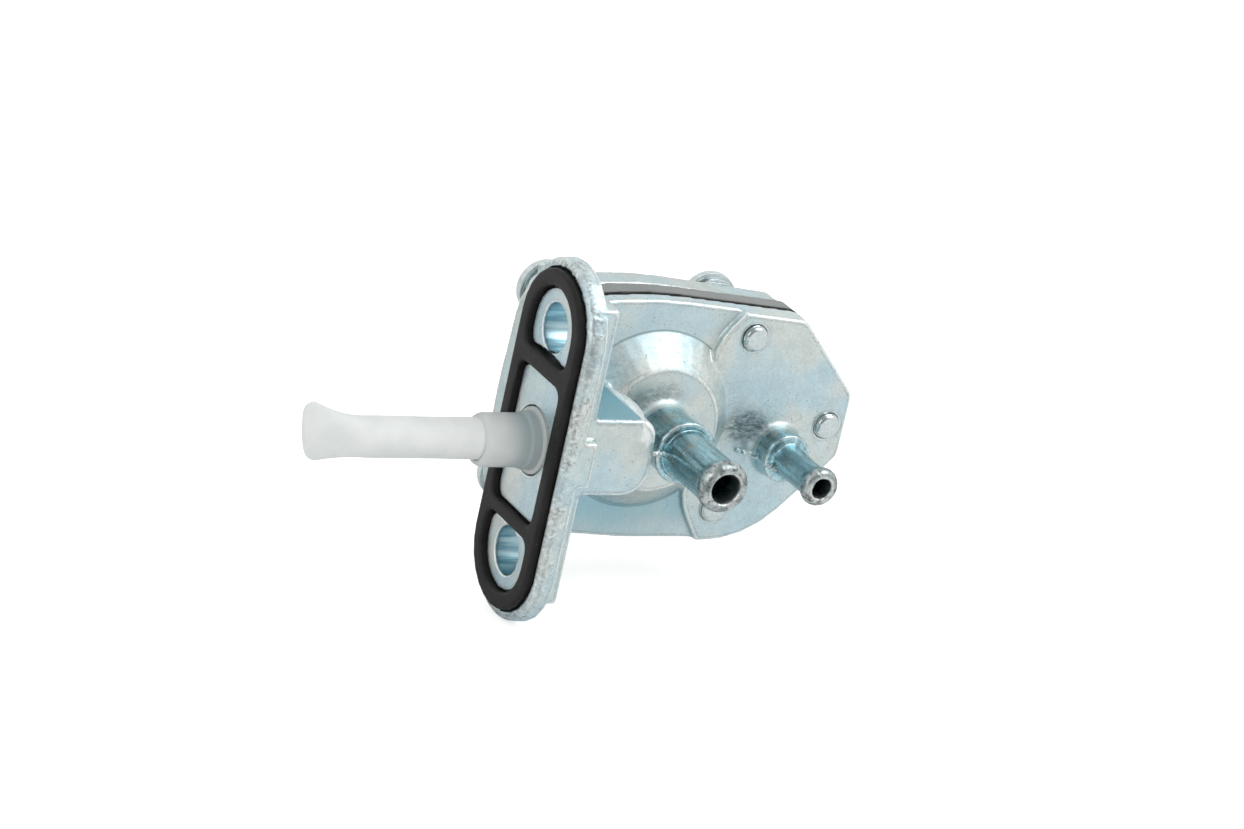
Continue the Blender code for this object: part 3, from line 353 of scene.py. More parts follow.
def smear_and_shade_casting(tree, place, coat):
    """Dark dragged blotches: rough casting and stain, with painted shadow and shade beside the nipples."""
    blotch = drawn_speckle(tree, place, (850, 850, 1700), 5, 0.72, rotation=(0, 0.6, 0))
    smear_and_shadow = painted(tree, "smear_and_shadow")
    # Painted shadow and shade, with rough casting and stain
    tint(tree, coat, times(tree, spread(tree, blotch, 0.70, 0.36), smear_and_shadow), 0.85, SMEAR_AND_SHADOW_DARK)
    emboss(tree, coat, times(tree, blotch, smear_and_shadow), 2.0)


def grain_and_glint_cone(tree, coarse, coat):
    """A coarser, duller skin on the boss's cone, with painted glints and specks of painted shade."""
    cone = painted(tree, "cone")
    # Painted glints and specks of shade
    tint(tree, coat, times(tree, spread(tree, coarse, 0.50, 0.62), cone), 0.22, CONE_GLINT)
    tint(tree, coat, times(tree, spread(tree, coarse, 0.48, 0.38), cone), 0.14, CONE_SHADE_SPECK)
    coat["roughness"] = raised(tree, coat["roughness"], cone, 0.05)
    emboss(tree, coat, times(tree, coarse, cone), 0.7)


def shade_cone_foot(tree, place, coat):
    """Painted shade: a thin dark line in the crease where the boss's cone meets the plate."""
    offset = add(tree, "VectorMath", {0: place, 1: (FUEL_AXIS[0], 0, 0)}, operation="SUBTRACT").outputs[0]
    across = add(tree, "VectorMath", {0: offset, 1: (1, 0, 1)}, operation="MULTIPLY").outputs[0]
    away = add(tree, "VectorMath", {0: across}, operation="LENGTH").outputs["Value"]
    forward = add(tree, "SeparateXYZ", {0: place}).outputs["Y"]
    crease_shade = spread(tree, away, SEAM_R - 0.22 * MM, SEAM_R - 0.02 * MM)
    crease_shade = times(tree, crease_shade, spread(tree, away, SEAM_R + 0.18 * MM, SEAM_R + 0.06 * MM))
    crease_shade = times(tree, crease_shade, spread(tree, forward, PLATE_Y - 0.6 * MM, PLATE_Y - 0.3 * MM))
    crease_shade = times(tree, crease_shade, spread(tree, forward, PLATE_Y + 0.4 * MM, PLATE_Y + 0.2 * MM))
    # Painted shade along the crease
    tint(tree, coat, crease_shade, 0.55, SEAM_SHADE)


def wear_and_light_edges(tree, coarse, coat):
    """Painted highlight on the hump's rounded end, and worn crests with a painted highlight between brown
    borders that are partly painted shade.
    """
    # Painted highlight on the hump's end
    painted_highlight = times(tree, painted(tree, "painted_highlight"), spread(tree, coarse, 0.3, 0.5))
    coat["colour"] = mix(tree, painted_highlight, coat["colour"], HIGHLIGHT_WHITE)
    edge = painted(tree, "edge")
    # Painted shade and brown tint beside worn crests
    border_and_shade = times(tree, spread(tree, edge, 0.0, 0.12), spread(tree, edge, 0.5, 0.2))
    border_and_shade = times(tree, border_and_shade, spread(tree, coarse, 0.35, 0.6))
    tint(tree, coat, border_and_shade, 0.5, EDGE_BROWN_AND_SHADE)
    # Worn crests with a painted highlight
    crest_and_highlight = times(tree, spread(tree, edge, 0.35, 0.8), spread(tree, coarse, 0.36, 0.5))
    tint(tree, coat, crest_and_highlight, 0.6, CREST_WEAR_AND_HIGHLIGHT)
    emboss(tree, coat, times(tree, coarse, edge), 1.2)


def cast_zinc(name, cool, warm, pits, grain, polish, depth):
    """Blue zinc plating on a casting, with rough, drawn, stained and worn areas, and with painted shade,
    reflections, glints and highlights.
    """
    material, tree, shader = new_material(name)
    shader.inputs["Metallic"].default_value = 1.0
    settings = {"Cool": (*cool, 1), "Warm": (*warm, 1), "Pits": pits, "Grain": grain, "Polish": polish}
    marks = add(tree, "Group", node_tree=CAST_SKIN)
    for label, value in settings.items():
        marks.inputs[label].default_value = value
    coat = {
        "colour": marks.outputs["Color"], "roughness": marks.outputs["Roughness"],
        "height": marks.outputs["Height"],
    }
    place = add(tree, "TexCoord").outputs["Object"]
    coarse = speckle(tree, place, 1700, 4, 0.7)
    shade_and_draw_bores(tree, place, coat)
    wear_rim(tree, place, coarse, coat)
    smear_and_shade_casting(tree, place, coat)
    # Painted shade and reflection: teal where the casting faces itself
    tint(tree, coat, painted(tree, "painted_reflected_shade"), 0.85, REFLECTED_SHADE_TEAL)
    grain_and_glint_cone(tree, coarse, coat)
    shade_cone_foot(tree, place, coat)
    wear_and_light_edges(tree, coarse, coat)
    feed(tree, shader, coat["colour"], coat["roughness"], coat["height"], depth)
    return material


# Turned metal, rubber and plastics

def turned_zinc(name, colour, roughness, depth, contrast):
    """Plated metal drawn lengthwise, brown and speckled where a nose is painted."""
    material, tree, shader = new_material(name)
    shader.inputs["Metallic"].default_value = 1.0
    marks = add(tree, "Group", node_tree=TURNING_MARKS)
    marks.inputs["Contrast"].default_value = contrast
    tinted = mix(tree, 1.0, grey_from(tree, marks.outputs["Shade"]), colour, "MULTIPLY")
    place = add(tree, "TexCoord").outputs["Object"]
    tan = spread(tree, speckle(tree, place, 300, 3, 0.6), 0.52, 0.68)
    tinted = lay(tree, tan, 0.55 * contrast, tinted, TAN)
    nose = painted(tree, "nose")
    patch = spread(tree, speckle(tree, place, 620, 4, 0.65), 0.40, 0.62)
    tinted = lay(tree, nose, 0.8, tinted, mix(tree, patch, NOSE_DARK, NOSE_LIGHT))
    stain = times(tree, marks.outputs["Stain"], raised(tree, 0.2 * contrast, nose, 0.65))
    tinted = mix(tree, stain, tinted, STAIN_BROWN)
    worn = spread(tree, speckle(tree, place, 800, 3, 0.6), 0.35, 0.55)
    tinted = lay(tree, times(tree, painted(tree, "lip"), worn), 0.6, tinted, LIP_LIGHT)
    rough = raised(tree, roughness, stain, 0.25)
    rough = raised(tree, rough, nose, 0.14)
    feed(tree, shader, tinted, rough, marks.outputs["Height"], depth)
    return material


def rubber(name, tone):
    """Matt black rubber with a grey bloom and a little dust."""
    material, tree, shader = new_material(name)
    place = add(tree, "TexCoord").outputs["Object"]
    grain = speckle(tree, place, 3200, 3, 0.6)
    dust = spread(tree, speckle(tree, place, 2100, 2, 0.5), 0.70, 0.78)
    bloom = spread(tree, speckle(tree, place, 240, 3, 0.6), 0.35, 0.75)
    base = mix(tree, bloom, (tone, tone * 0.97, tone * 0.97), (tone * 1.9, tone * 1.8, tone * 1.8))
    base = lay(tree, dust, 0.35, base, RUBBER_DUST)
    shader.inputs["Specular IOR Level"].default_value = 0.22
    roughness = spread(tree, grain, 0.2, 0.8, 0.42, 0.58)
    feed(tree, shader, base, roughness, grain, 0.012 * MM)
    return material


def nylon(name, through, bluish):
    """Milky nylon that lets light through, with painted bluish shade where the seat lies behind it."""
    material, tree, shader = new_material(name)
    shader.inputs["Transmission Weight"].default_value = through
    shader.inputs["IOR"].default_value = 1.25
    place = add(tree, "TexCoord").outputs["Object"]
    cloud = speckle(tree, place, 260, 3, 0.6)
    drawn = drawn_speckle(tree, place, (120, 1500, 1500), 2, 0.5)
    base = mix(tree, spread(tree, cloud, 0.3, 0.7), NYLON_DARK, NYLON_LIGHT)
    along = add(tree, "SeparateXYZ", {0: place}).outputs["X"]
    # Painted shade of the blue seat, seen through the nylon
    near_seat = times(tree, spread(tree, along, -6 * MM, -1.5 * MM), bluish)
    near_seat = times(tree, near_seat, spread(tree, along, -0.1 * MM, -0.4 * MM))
    base = mix(tree, near_seat, base, SEAT_SHADE)
    roughness = spread(tree, drawn, 0.3, 0.7, 0.38, 0.52)
    feed(tree, shader, base, roughness, raised(tree, cloud, drawn, 0.5), 0.02 * MM)
    return material


def moulded(name, colour, roughness, depth):
    """Plastic with a fine grain and clouds a little lighter than its colour."""
    material, tree, shader = new_material(name)
    place = add(tree, "TexCoord").outputs["Object"]
    grain = speckle(tree, place, 1800, 3, 0.6)
    cloud = speckle(tree, place, 200, 3, 0.6)
    lighter = tuple(min(1, c * 1.12) for c in colour)
    base = mix(tree, spread(tree, cloud, 0.35, 0.7), colour, lighter)
    rough = spread(tree, grain, 0.2, 0.8, roughness - 0.06, roughness + 0.06)
    feed(tree, shader, base, rough, grain, depth)
    return material


ZINC = cast_zinc(
    "cast_zinc", cool=(0.52, 0.67, 0.72), warm=(0.66, 0.71, 0.68),
    pits=0.84, grain=1.0, polish=0.35, depth=0.018 * MM,
)
COVER_ZINC = cast_zinc(
    "cover_zinc", cool=(0.52, 0.64, 0.66), warm=(0.58, 0.62, 0.58),
    pits=0.84, grain=1.3, polish=0.36, depth=0.022 * MM,
)
TURNED = turned_zinc("turned_zinc", (0.36, 0.56, 0.62), 0.24, 0.010 * MM, contrast=1.0)
SCREW_ZINC = turned_zinc("screw_zinc", (0.60, 0.67, 0.68), 0.2, 0.003 * MM, contrast=0.3)
SPRING_STEEL = turned_zinc("spring_steel", (0.45, 0.45, 0.46), 0.25, 0.003 * MM, contrast=0.3)
BLACK_RUBBER = rubber("black_rubber", 0.008)
NYLON = nylon("milky_nylon", through=0.15, bluish=0.0)
THIN_NYLON = nylon("thin_nylon", through=0.45, bluish=0.8)
GREY_PLASTIC = moulded("grey_plastic", (0.20, 0.215, 0.21), 0.5, 0.01 * MM)
ACETAL = moulded("white_acetal", (0.80, 0.80, 0.77), 0.4, 0.006 * MM)


# Mesh helpers

def finish_piece(mesh, name, material, nodes=(), body="housing", smooth_angle=None):
    """Make a mesh a piece of the object, riding on its body in place of CAD nodes."""
    mesh.name = name
    keep_inside(mesh)
    obj = bpy.data.objects.new(name, mesh)
    bpy.context.scene.collection.objects.link(obj)
    mesh.materials.clear()
    mesh.materials.append(material)
    mesh.shade_smooth()
    if smooth_angle:
        mesh.set_sharp_from_angle(angle=math.radians(smooth_angle))
    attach(obj, body)
    if nodes:
        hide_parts(*nodes)
    return obj


def keep_inside(mesh):
    """No point of a rough skin lies outside the CAD model's box."""
    for vert in mesh.vertices:
        vert.co = [min(max(value, low), high) for value, low, high in zip(vert.co, *CAD_BOX)]


def to_mesh(bm, name="mesh"):
    mesh = bpy.data.meshes.new(name)
    bm.to_mesh(mesh)
    bm.free()
    return mesh


def spin_profile(profile, centre, steps, axis="Y"):
    """A closed solid of revolution from the closed outline (radius, place along the axis)."""
    bm = bmesh.new()
    verts = [bm.verts.new((radius, along, 0)) for radius, along in profile]
    pairs = list(zip(verts, verts[1:]))
    if profile[0][0] > 0 or profile[-1][0] > 0:
        pairs.append((verts[-1], verts[0]))
    edges = [bm.edges.new(pair) for pair in pairs]
    bmesh.ops.spin(
        bm, geom=verts + edges, cent=(0, 0, 0), axis=(0, 1, 0), angle=FULL_TURN, steps=steps,
        use_merge=True, use_duplicate=False,
    )
    bmesh.ops.remove_doubles(bm, verts=bm.verts, dist=1e-7)
    bmesh.ops.dissolve_degenerate(bm, edges=bm.edges, dist=1e-7)
    bmesh.ops.recalc_face_normals(bm, faces=bm.faces)
    if axis == "X":
        turn_about(bm, bm.verts, -90, "Z")
    bmesh.ops.translate(bm, verts=bm.verts, vec=centre)
    return bm


def turn_about(bm, verts, degrees, axis):
    turn = Matrix.Rotation(math.radians(degrees), 3, axis)
    bmesh.ops.rotate(bm, verts=verts, cent=(0, 0, 0), matrix=turn)


def soften_edges(bm, width, angle, segments):
    """Round the edges that are sharper than an angle."""
    bm.normal_update()
    sharp = [e for e in bm.edges if len(e.link_faces) == 2 and e.calc_face_angle() > math.radians(angle)]
    bmesh.ops.bevel(
        bm, geom=sharp, offset=width, segments=segments, profile=0.5, affect="EDGES", material=-1,
        clamp_overlap=True,
    )


def modified(mesh, stack, tools=()):
    """A new mesh made by a stack of (kind, settings) modifiers from a mesh."""
    obj = bpy.data.objects.new("work", mesh)
    bpy.context.scene.collection.objects.link(obj)
    for kind, settings in stack:
        modifier = obj.modifiers.new(kind.lower(), kind)
        for name, value in settings.items():
            setattr(modifier, name, value)
    graph = bpy.context.evaluated_depsgraph_get()
    made = bpy.data.meshes.new_from_object(obj.evaluated_get(graph))
    bpy.data.objects.remove(obj, do_unlink=True)
    for tool in tools:
        bpy.data.objects.remove(tool, do_unlink=True)
    return made


def node_copy(name):
    """A CAD node's mesh as a bmesh with its loose triangles merged."""
    bm = bmesh.new()
    bm.from_mesh(NODES[name].data)
    bmesh.ops.remove_doubles(bm, verts=bm.verts, dist=2e-6)
    return bm


def tool_object(bm, name):
    obj = bpy.data.objects.new(name, to_mesh(bm, name))
    bpy.context.scene.collection.objects.link(obj)
    return obj


def softened(bm, voxel, rounds, share=1.0, cuts=(), only_x=0):
    """Remesh a shape finely and smooth it, so that its edges and corners look cast."""
    stack = [("BOOLEAN", {"operation": "DIFFERENCE", "solver": "EXACT", "object": tool}) for tool in cuts]
    stack.append(("REMESH", {"mode": "VOXEL", "voxel_size": voxel}))
    if only_x:
        stack.append(("SMOOTH", {"factor": 0.5, "iterations": only_x, "use_y": False, "use_z": False}))
    stack.append(("SMOOTH", {"factor": 0.5, "iterations": rounds}))
    if share < 1:
        stack.append(("DECIMATE", {"ratio": share}))
    return modified(to_mesh(bm), stack, cuts)


def roughen(mesh, size, strength, seed, region=None):
    """Push a mesh's points along their normals by noise, as a rough casting is."""
    offset = Vector((seed, seed * 0.7, seed * 1.3))
    normals = [vert.normal.copy() for vert in mesh.vertices]
    for vert, normal in zip(mesh.vertices, normals):
        weight = region(vert.co) if region else 1.0
        if weight > 0:
            vert.co += normal * (noise.fractal(vert.co / size + offset, 1.0, 2.0, 3) * strength * weight)


def paint(mesh, name, rule):
    """Store a strength from 0 to 1 on each point of a mesh, for its material to read."""
    layer = mesh.attributes.new(name, "FLOAT", "POINT")
    layer.data.foreach_set("value", [rule(vert.co) for vert in mesh.vertices])


def ramp(value, low, high):
    """0 at low, 1 at high, eased between."""
    share = min(1.0, max(0.0, (value - low) / (high - low)))
    return share * share * (3 - 2 * share)


# Castings

BOLT_PITCH = 34 * MM
BOLT_HOLE_R = 3.57 * MM
SEAT_R = 5.0 * MM
PISTON_CLEAR_R = 8.2 * MM
FLANGE_END_Z = 16.75 * MM
FLANGE_SIDE_Y = -9 * MM
GATE = (1.3 * MM, 20.6 * MM)
GROOVE_LIMIT_X = 1.4 * MM
BAR_HALF = 7.4 * MM
BAR_MIDDLE_Z = 11.6 * MM
BAR_OUTER_FADE = (13.4 * MM, 15.5 * MM)
BAR_INNER_FADE = (-9.7 * MM, -8.0 * MM)
UPPER_BAR_OUTER_CUT = 0.6 * MM
LOWER_BAR_OUTER_CUT = 0.3 * MM
LOWER_BAR_INNER_CUT = 0.9 * MM
HUMP_BULGE = 1.3 * MM
HUMP_FRONT_Y = -9 * MM
CONE_FRONT_Y = 3.2 * MM
CONE_INNER_R = (8.6 * MM, 9.2 * MM)
# Painted shadow and rough casting beside the vacuum nipple: its centre and reach
SMEAR_SHADOW_CENTRE = (39.2 * MM, -0.4 * MM)
SMEAR_SHADOW_REACH = (5.0, 3.3)
SIDE_STAIN_CENTRE = (1.0 * MM, 15.5 * MM)
SIDE_STAIN_REACH = (1.1, 4.5)


def plug(centre, radius, low, high, name):
    """A cylinder along Y, to cut a piece with."""
    bm = bmesh.new()
    bmesh.ops.create_cone(bm, cap_ends=True, segments=48, radius1=radius, radius2=radius, depth=high - low)
    turn_about(bm, bm.verts, 90, "X")
    bmesh.ops.translate(bm, verts=bm.verts, vec=(centre[0], (low + high) / 2, centre[1]))
    return tool_object(bm, name)


def make_casting():
    """The body without its nipples, which are turned pieces of their own."""
    cuts = [
        plug(FUEL_AXIS, 6.9 * MM, -20 * MM, 1.5 * MM, "fuel_plug"),
        plug(VACUUM_AXIS, 5.5 * MM, -10 * MM, 5.0 * MM, "vacuum_plug"),
    ]
    voxel = 0.22 * MM
    copy = node_copy("body")
    narrow_bars(copy)
    mesh = softened(copy, voxel, 10, cuts=cuts)
    swell_hump(mesh)
    smooth_area(mesh, hump_end, 20)
    smooth_area(mesh, flange_rim, 14)
    mark_edges(mesh)
    mesh = modified(mesh, [("DECIMATE", {"ratio": 0.5})])
    roughen(mesh, 0.7 * MM, 0.03 * MM, 3.0, skin_roughness)
    # Some of these areas carry painted shade, shadow, reflection and highlights besides real roughness and
    # wear
    areas = {
        "rim": flange_rim, "bore": bore_wall, "smear_and_shadow": smear_and_shadow, "painted_reflected_shade": shaded_side, "painted_highlight": hump_end_highlight,
        "cone": boss_cone,
    }
    for name, rule in areas.items():
        paint(mesh, name, rule)
    finish_piece(mesh, "casting", ZINC, ("body",))


def bolt_radius(co):
    return math.hypot(co.y, abs(co.z) - BOLT_PITCH / 2)


def boss_radius(co):
    return math.hypot(co.x - FUEL_AXIS[0], co.z)


def oval_radius(co, centre, reach):
    """Distance from a centre in X and Z, each divided by its reach."""
    return math.hypot((co.x - centre[0]) / reach[0], (co.z - centre[1]) / reach[1])


def narrow_bars(bm):
    """Draw in the long sides of the gasket's bars, or of their groove.

    The upper bar is drawn in on its outer side, and the lower one on both.
    """
    for vert in bm.verts:
        x, y, z = vert.co
        if x > GROOVE_LIMIT_X or abs(y) > BAR_HALF or bolt_radius(vert.co) < BOLT_HOLE_R + 0.05 * MM:
            continue
        if z > BAR_MIDDLE_Z:
            vert.co.z -= UPPER_BAR_OUTER_CUT * (1 - ramp(z, *BAR_OUTER_FADE))
        elif z < -BAR_MIDDLE_Z:
            vert.co.z += LOWER_BAR_OUTER_CUT * (1 - ramp(-z, *BAR_OUTER_FADE))
        elif z < 0:
            vert.co.z -= LOWER_BAR_INNER_CUT * (1 - ramp(z, *BAR_INNER_FADE))


def swell_hump(mesh):
    """Let the hump's end bulge towards the boss in its middle."""
    middle_y = 0.2 * MM
    half_width = 5 * MM
    for vert in mesh.vertices:
        x, y, z = vert.co
        if z > MM and 11 * MM < x < 16 * MM and y < 4 * MM:
            across = min(1.0, abs(y - middle_y) / half_width)
            share = (1 - across ** 2) * ramp(x, 11.6 * MM, 13.2 * MM) * ramp(z, MM, 4 * MM)
            vert.co.x += HUMP_BULGE * share


def smooth_area(mesh, rule, rounds):
    """Round the points where a rule is strong."""
    bm = bmesh.new()
    bm.from_mesh(mesh)
    chosen = [vert for vert in bm.verts if rule(vert.co) > 0.5]
    for _ in range(rounds):
        bmesh.ops.smooth_vert(
            bm, verts=chosen, factor=0.5, use_axis_x=True, use_axis_y=True, use_axis_z=True,
        )
    bm.to_mesh(mesh)
    bm.free()


def hump_end(co):
    """The end of the rounded hump on top of the block, beside the boss."""
    inside = 12.6 * MM < co.x < 16.5 * MM and HUMP_FRONT_Y < co.y < 6 * MM and co.z > 1.5 * MM
    return 1.0 if inside else 0.0


def mark_edges(mesh):
    """Store how convex each point is, for worn edges with painted highlights and shade; needs an even mesh.
    """
    bm = bmesh.new()
    bm.from_mesh(mesh)
    bm.normal_update()
    values = []
    for vert in bm.verts:
        middle = Vector()
        for edge in vert.link_edges:
            middle += edge.other_vert(vert).co
        out = (vert.co - middle / len(vert.link_edges)).dot(vert.normal)
        values.append(ramp(out, 0.002 * MM, 0.016 * MM))
    bm.free()
    layer = mesh.attributes.new("edge", "FLOAT", "POINT")
    layer.data.foreach_set("value", values)


def flange_radius(co):
    return math.hypot(co.y, max(0.0, abs(co.z) - FLANGE_END_Z))


def flange_rim(co):
    """The flange's rounded shoulder, rough beside the gasket."""
    return ramp(flange_radius(co), 8.6 * MM, 9.4 * MM) * (1 - ramp(co.x, 1.9 * MM, 2.6 * MM))


def gate_mark(co):
    """The broken stub of the gate on the flange's long side."""
    away = math.hypot(co.x - GATE[0], co.z - GATE[1])
    return (1 - ramp(away, 1.0 * MM, 2.4 * MM)) if co.y < FLANGE_SIDE_Y + MM else 0.0


def skin_roughness(co):
    return 0.3 + flange_rim(co) + 2.2 * gate_mark(co)


def bore_wall(co):
    """Inside the bolt holes and the seat hole of the filter."""
    in_bolt_hole = 1 - ramp(bolt_radius(co), BOLT_HOLE_R + 0.08 * MM, BOLT_HOLE_R + 0.28 * MM)
    in_seat = 1 - ramp(math.hypot(co.y, co.z), SEAT_R, SEAT_R + 0.2 * MM)
    return max(in_bolt_hole, in_seat) * ramp(co.x, 0.1 * MM, 0.5 * MM) if co.x < 5.4 * MM else 0.0


def smear_and_shadow(co):
    """Dark, rough casting on the plate, below the gate and round the fuel nipple's foot; beside the vacuum
    nipple and on the upper left of the fuel nipple's foot it is painted shadow and shade.
    """
    plate, side, face = 0.0, 0.0, 0.0
    if co.y > 5 * MM:
        # Painted shadow of the vacuum nipple on the plate, over rough casting
        plate = 1 - ramp(oval_radius(co, SMEAR_SHADOW_CENTRE, SMEAR_SHADOW_REACH), 0.45 * MM, 1.0 * MM)
    if co.y < FLANGE_SIDE_Y and co.x < 3 * MM:
        side = 0.55 * (1 - ramp(oval_radius(co, SIDE_STAIN_CENTRE, SIDE_STAIN_REACH), 0.4 * MM, 1.0 * MM))
    if 2 * MM < co.y < 5 * MM:
        # Painted shade on the boss's face, on the upper left of the fuel nipple's foot
        away = boss_radius(co)
        turned = (co.z * 0.8 - (co.x - FUEL_AXIS[0]) * 0.6) / max(away, 0.1 * MM)
        ring = ramp(away, 4.6 * MM, 5.2 * MM) * (1 - ramp(away, 6.0 * MM, 8.0 * MM))
        face = 0.7 * ramp(turned, 0.2, 0.8) * ring
    return max(plate, side, face)


def boss_cone(co):
    """The boss's cone, rougher than the rest of the casting."""
    away = boss_radius(co)
    if not CONE_FRONT_Y < co.y < PLATE_Y - 0.2 * MM or away > SEAM_R:
        return 0.0
    return ramp(away, *CONE_INNER_R)


def hump_end_highlight(co):
    """The rounded end of the hump, where a highlight is painted."""
    if not (co.z > 3.5 * MM and HUMP_FRONT_Y < co.y < 4.5 * MM):
        return 0.0
    return ramp(co.x, 12.3 * MM, 12.7 * MM) * (1 - ramp(co.x, 16.1 * MM, 16.6 * MM))


def shaded_side(co):
    """Painted teal shade and reflection where the casting faces itself: on the plate below the boss and on
    top of the hump.
    """
    under, top = 0.0, 0.0
    if co.y > 8 * MM and co.x < 35 * MM:
        under = (1 - ramp(boss_radius(co), 14 * MM, 22 * MM)) * ramp(-co.z, 6 * MM, 14 * MM)
    if 5.4 * MM < co.x < 14 * MM and co.y < 4 * MM:
        top = ramp(co.z, 6.1 * MM, 6.5 * MM) * (1 - ramp(co.x, 12.2 * MM, 12.7 * MM))
    return max(0.7 * under, top)


def make_cover():
    """The rear cover, a casting of its own."""
    voxel = 0.28 * MM
    mesh = softened(node_copy("rear_cover"), voxel, 4)
    mark_edges(mesh)
    mesh = modified(mesh, [("DECIMATE", {"ratio": 0.5})])
    roughen(mesh, 0.8 * MM, 0.03 * MM, 9.0)
    finish_piece(mesh, "rear_cover_cast", COVER_ZINC, ("rear_cover",))


# Turned nipples, whose outlines are (radius, place along Y) in millimetres

FUEL_OUTLINE = (
    (2.06, 2.95), (2.06, -16.25), (2.32, -16.62), (2.62, -16.7), (3.05, -16.66), (3.45, -16.42),
    (3.74, -15.98), (3.85, -15.45), (3.82, -15.0), (3.66, -14.45), (3.52, -14.0), (3.5, -13.6),
    (3.5, -4.5), (3.58, -4.12), (3.78, -4.05), (3.95, -4.2), (4.5, -4.2), (4.72, -4.0), (4.75, -3.7),
    (4.68, -3.35), (4.5, -3.05), (4.44, -2.7), (4.44, 2.62), (4.36, 2.75), (4.2, 2.95),
)
VACUUM_OUTLINE = (
    (1.43, 6.3), (1.43, -7.3), (1.62, -7.56), (1.85, -7.62), (2.2, -7.6), (2.55, -7.42), (2.8, -7.1),
    (2.93, -6.65), (2.93, -6.3), (2.78, -5.85), (2.5, -5.4), (2.4, -5.1), (2.38, -4.7), (2.38, 2.55),
    (2.5, 2.78), (2.75, 2.9), (3.0, 2.95), (3.5, 2.95), (3.7, 3.05), (3.78, 3.3), (3.78, 5.85),
    (3.7, 6.0), (3.5, 6.3),
)


def make_nipple(name, axis, outline, steps, grain, seed, rough_length, nose_length, collar):
    """Turn a nipple, and roughen and paint its nose; its collar is (place along Y, radius)."""
    profile = [(radius * MM, along * MM) for radius, along in outline]
    bore = profile[0][0]
    tip = min(along for radius, along in profile)
    bm = spin_profile(profile, (axis[0], 0, axis[1]), steps)
    mesh = modified(to_mesh(bm), [("SUBSURF", {"levels": 1, "render_levels": 1})])
    roughen(mesh, grain, 0.05 * MM, seed, lambda co: 1.0 if co.y < tip + rough_length else 0.3)

    def lip(co):
        away = math.hypot(co.x - axis[0], co.z - axis[1])
        end = 1 - ramp(abs(away - bore - 0.35 * MM), 0.1 * MM, 0.3 * MM)
        end *= 1 - ramp(co.y - tip, 0.3 * MM, 1.2 * MM)
        step = 1 - ramp(abs(co.y - collar[0]), 0.1 * MM, 0.3 * MM)
        return max(end, 0.75 * step * ramp(away, collar[1] - 0.2 * MM, collar[1]))

    paint(mesh, "nose", lambda co: 1 - ramp(co.y - tip, nose_length * 0.4, nose_length))
    paint(mesh, "lip", lip)
    finish_piece(mesh, name, TURNED)


def make_nipples():
    make_nipple(
        "fuel_nipple", FUEL_AXIS, FUEL_OUTLINE, steps=128, grain=0.9 * MM, seed=5.0,
        rough_length=3 * MM, nose_length=2.6 * MM, collar=(-4.1 * MM, 4.5 * MM),
    )
    make_nipple(
        "vacuum_nipple", VACUUM_AXIS, VACUUM_OUTLINE, steps=112, grain=0.8 * MM, seed=7.0,
        rough_length=2.5 * MM, nose_length=1.7 * MM, collar=(3.0 * MM, 3.5 * MM),
    )


# Flash left along the parting line

def make_flash(name, start, end, rise, seed):
    """A thin ragged fin between two points in millimetres, standing up along rise."""
    start, end, rise = (Vector(p) * MM for p in (start, end, rise))
    bm = bmesh.new()
    bmesh.ops.create_grid(bm, x_segments=36, y_segments=5, size=0.5)
    along = end - start
    side = along.cross(rise).normalized()
    for vert in bm.verts:
        share, level = vert.co.x + 0.5, vert.co.y + 0.5
        ragged = 0.65 + 0.7 * noise.noise(Vector((share * 7, seed, 0)))
        ragged += 0.4 * noise.noise(Vector((share * 19, seed, 3)))
        sway = noise.noise(Vector((share * 5, level * 2, seed + 9)))
        vert.co = start + along * share + rise * (level * ragged - 0.3) + side * sway * 0.4 * MM
    mesh = modified(to_mesh(bm), [
        ("SOLIDIFY", {"thickness": 0.55 * MM, "offset": 0.0}),
        ("SUBSURF", {"levels": 1, "render_levels": 1}),
    ])
    finish_piece(mesh, name, ZINC)


# Gasket and spacer

def make_gasket():
    voxel = 0.16 * MM
    copy = node_copy("flange_gasket")
    narrow_bars(copy)
    mesh = softened(copy, voxel, 7, 0.6, only_x=22)
    finish_piece(mesh, "gasket_cord", BLACK_RUBBER, ("flange_gasket",))


def make_spacer():
    voxel = 0.25 * MM
    mesh = softened(node_copy("spacer_plate"), voxel, 2, 0.35)
    finish_piece(mesh, "spacer_moulding", GREY_PLASTIC, ("spacer_plate",))


# Nylon filter, whose collar's outline is (radius, place along X) in millimetres

COLLAR_OUTLINE = (
    (2.99, -8.55), (3.1, -8.62), (3.35, -8.56), (3.6, -8.35), (3.78, -8.0), (3.85, -7.5), (3.85, -2.0),
    (3.9, -1.75), (4.1, -1.55), (4.15, -1.3), (4.15, -0.3), (4.22, -0.12), (4.65, -0.1), (4.78, 0.02),
    (4.8, 0.2), (4.8, 3.7), (4.7, 3.75), (2.2, 3.75), (2.2, -2.55), (2.25, -2.6), (2.99, -2.6),
    (2.99, -2.65),
)
SCREEN_ROOT_X = -2.85 * MM
SCREEN_TIP_X = -35.1 * MM
PINCH_START_X = -25.5 * MM
PINCH_LENGTH = 7.9 * MM


def make_filter_base():
    bm = spin_profile([(r * MM, x * MM) for r, x in COLLAR_OUTLINE], (0, 0, 0), 96, "X")
    finish_piece(
        to_mesh(bm), "filter_collar", THIN_NYLON, ("filter_base",), smooth_angle=40,
    )


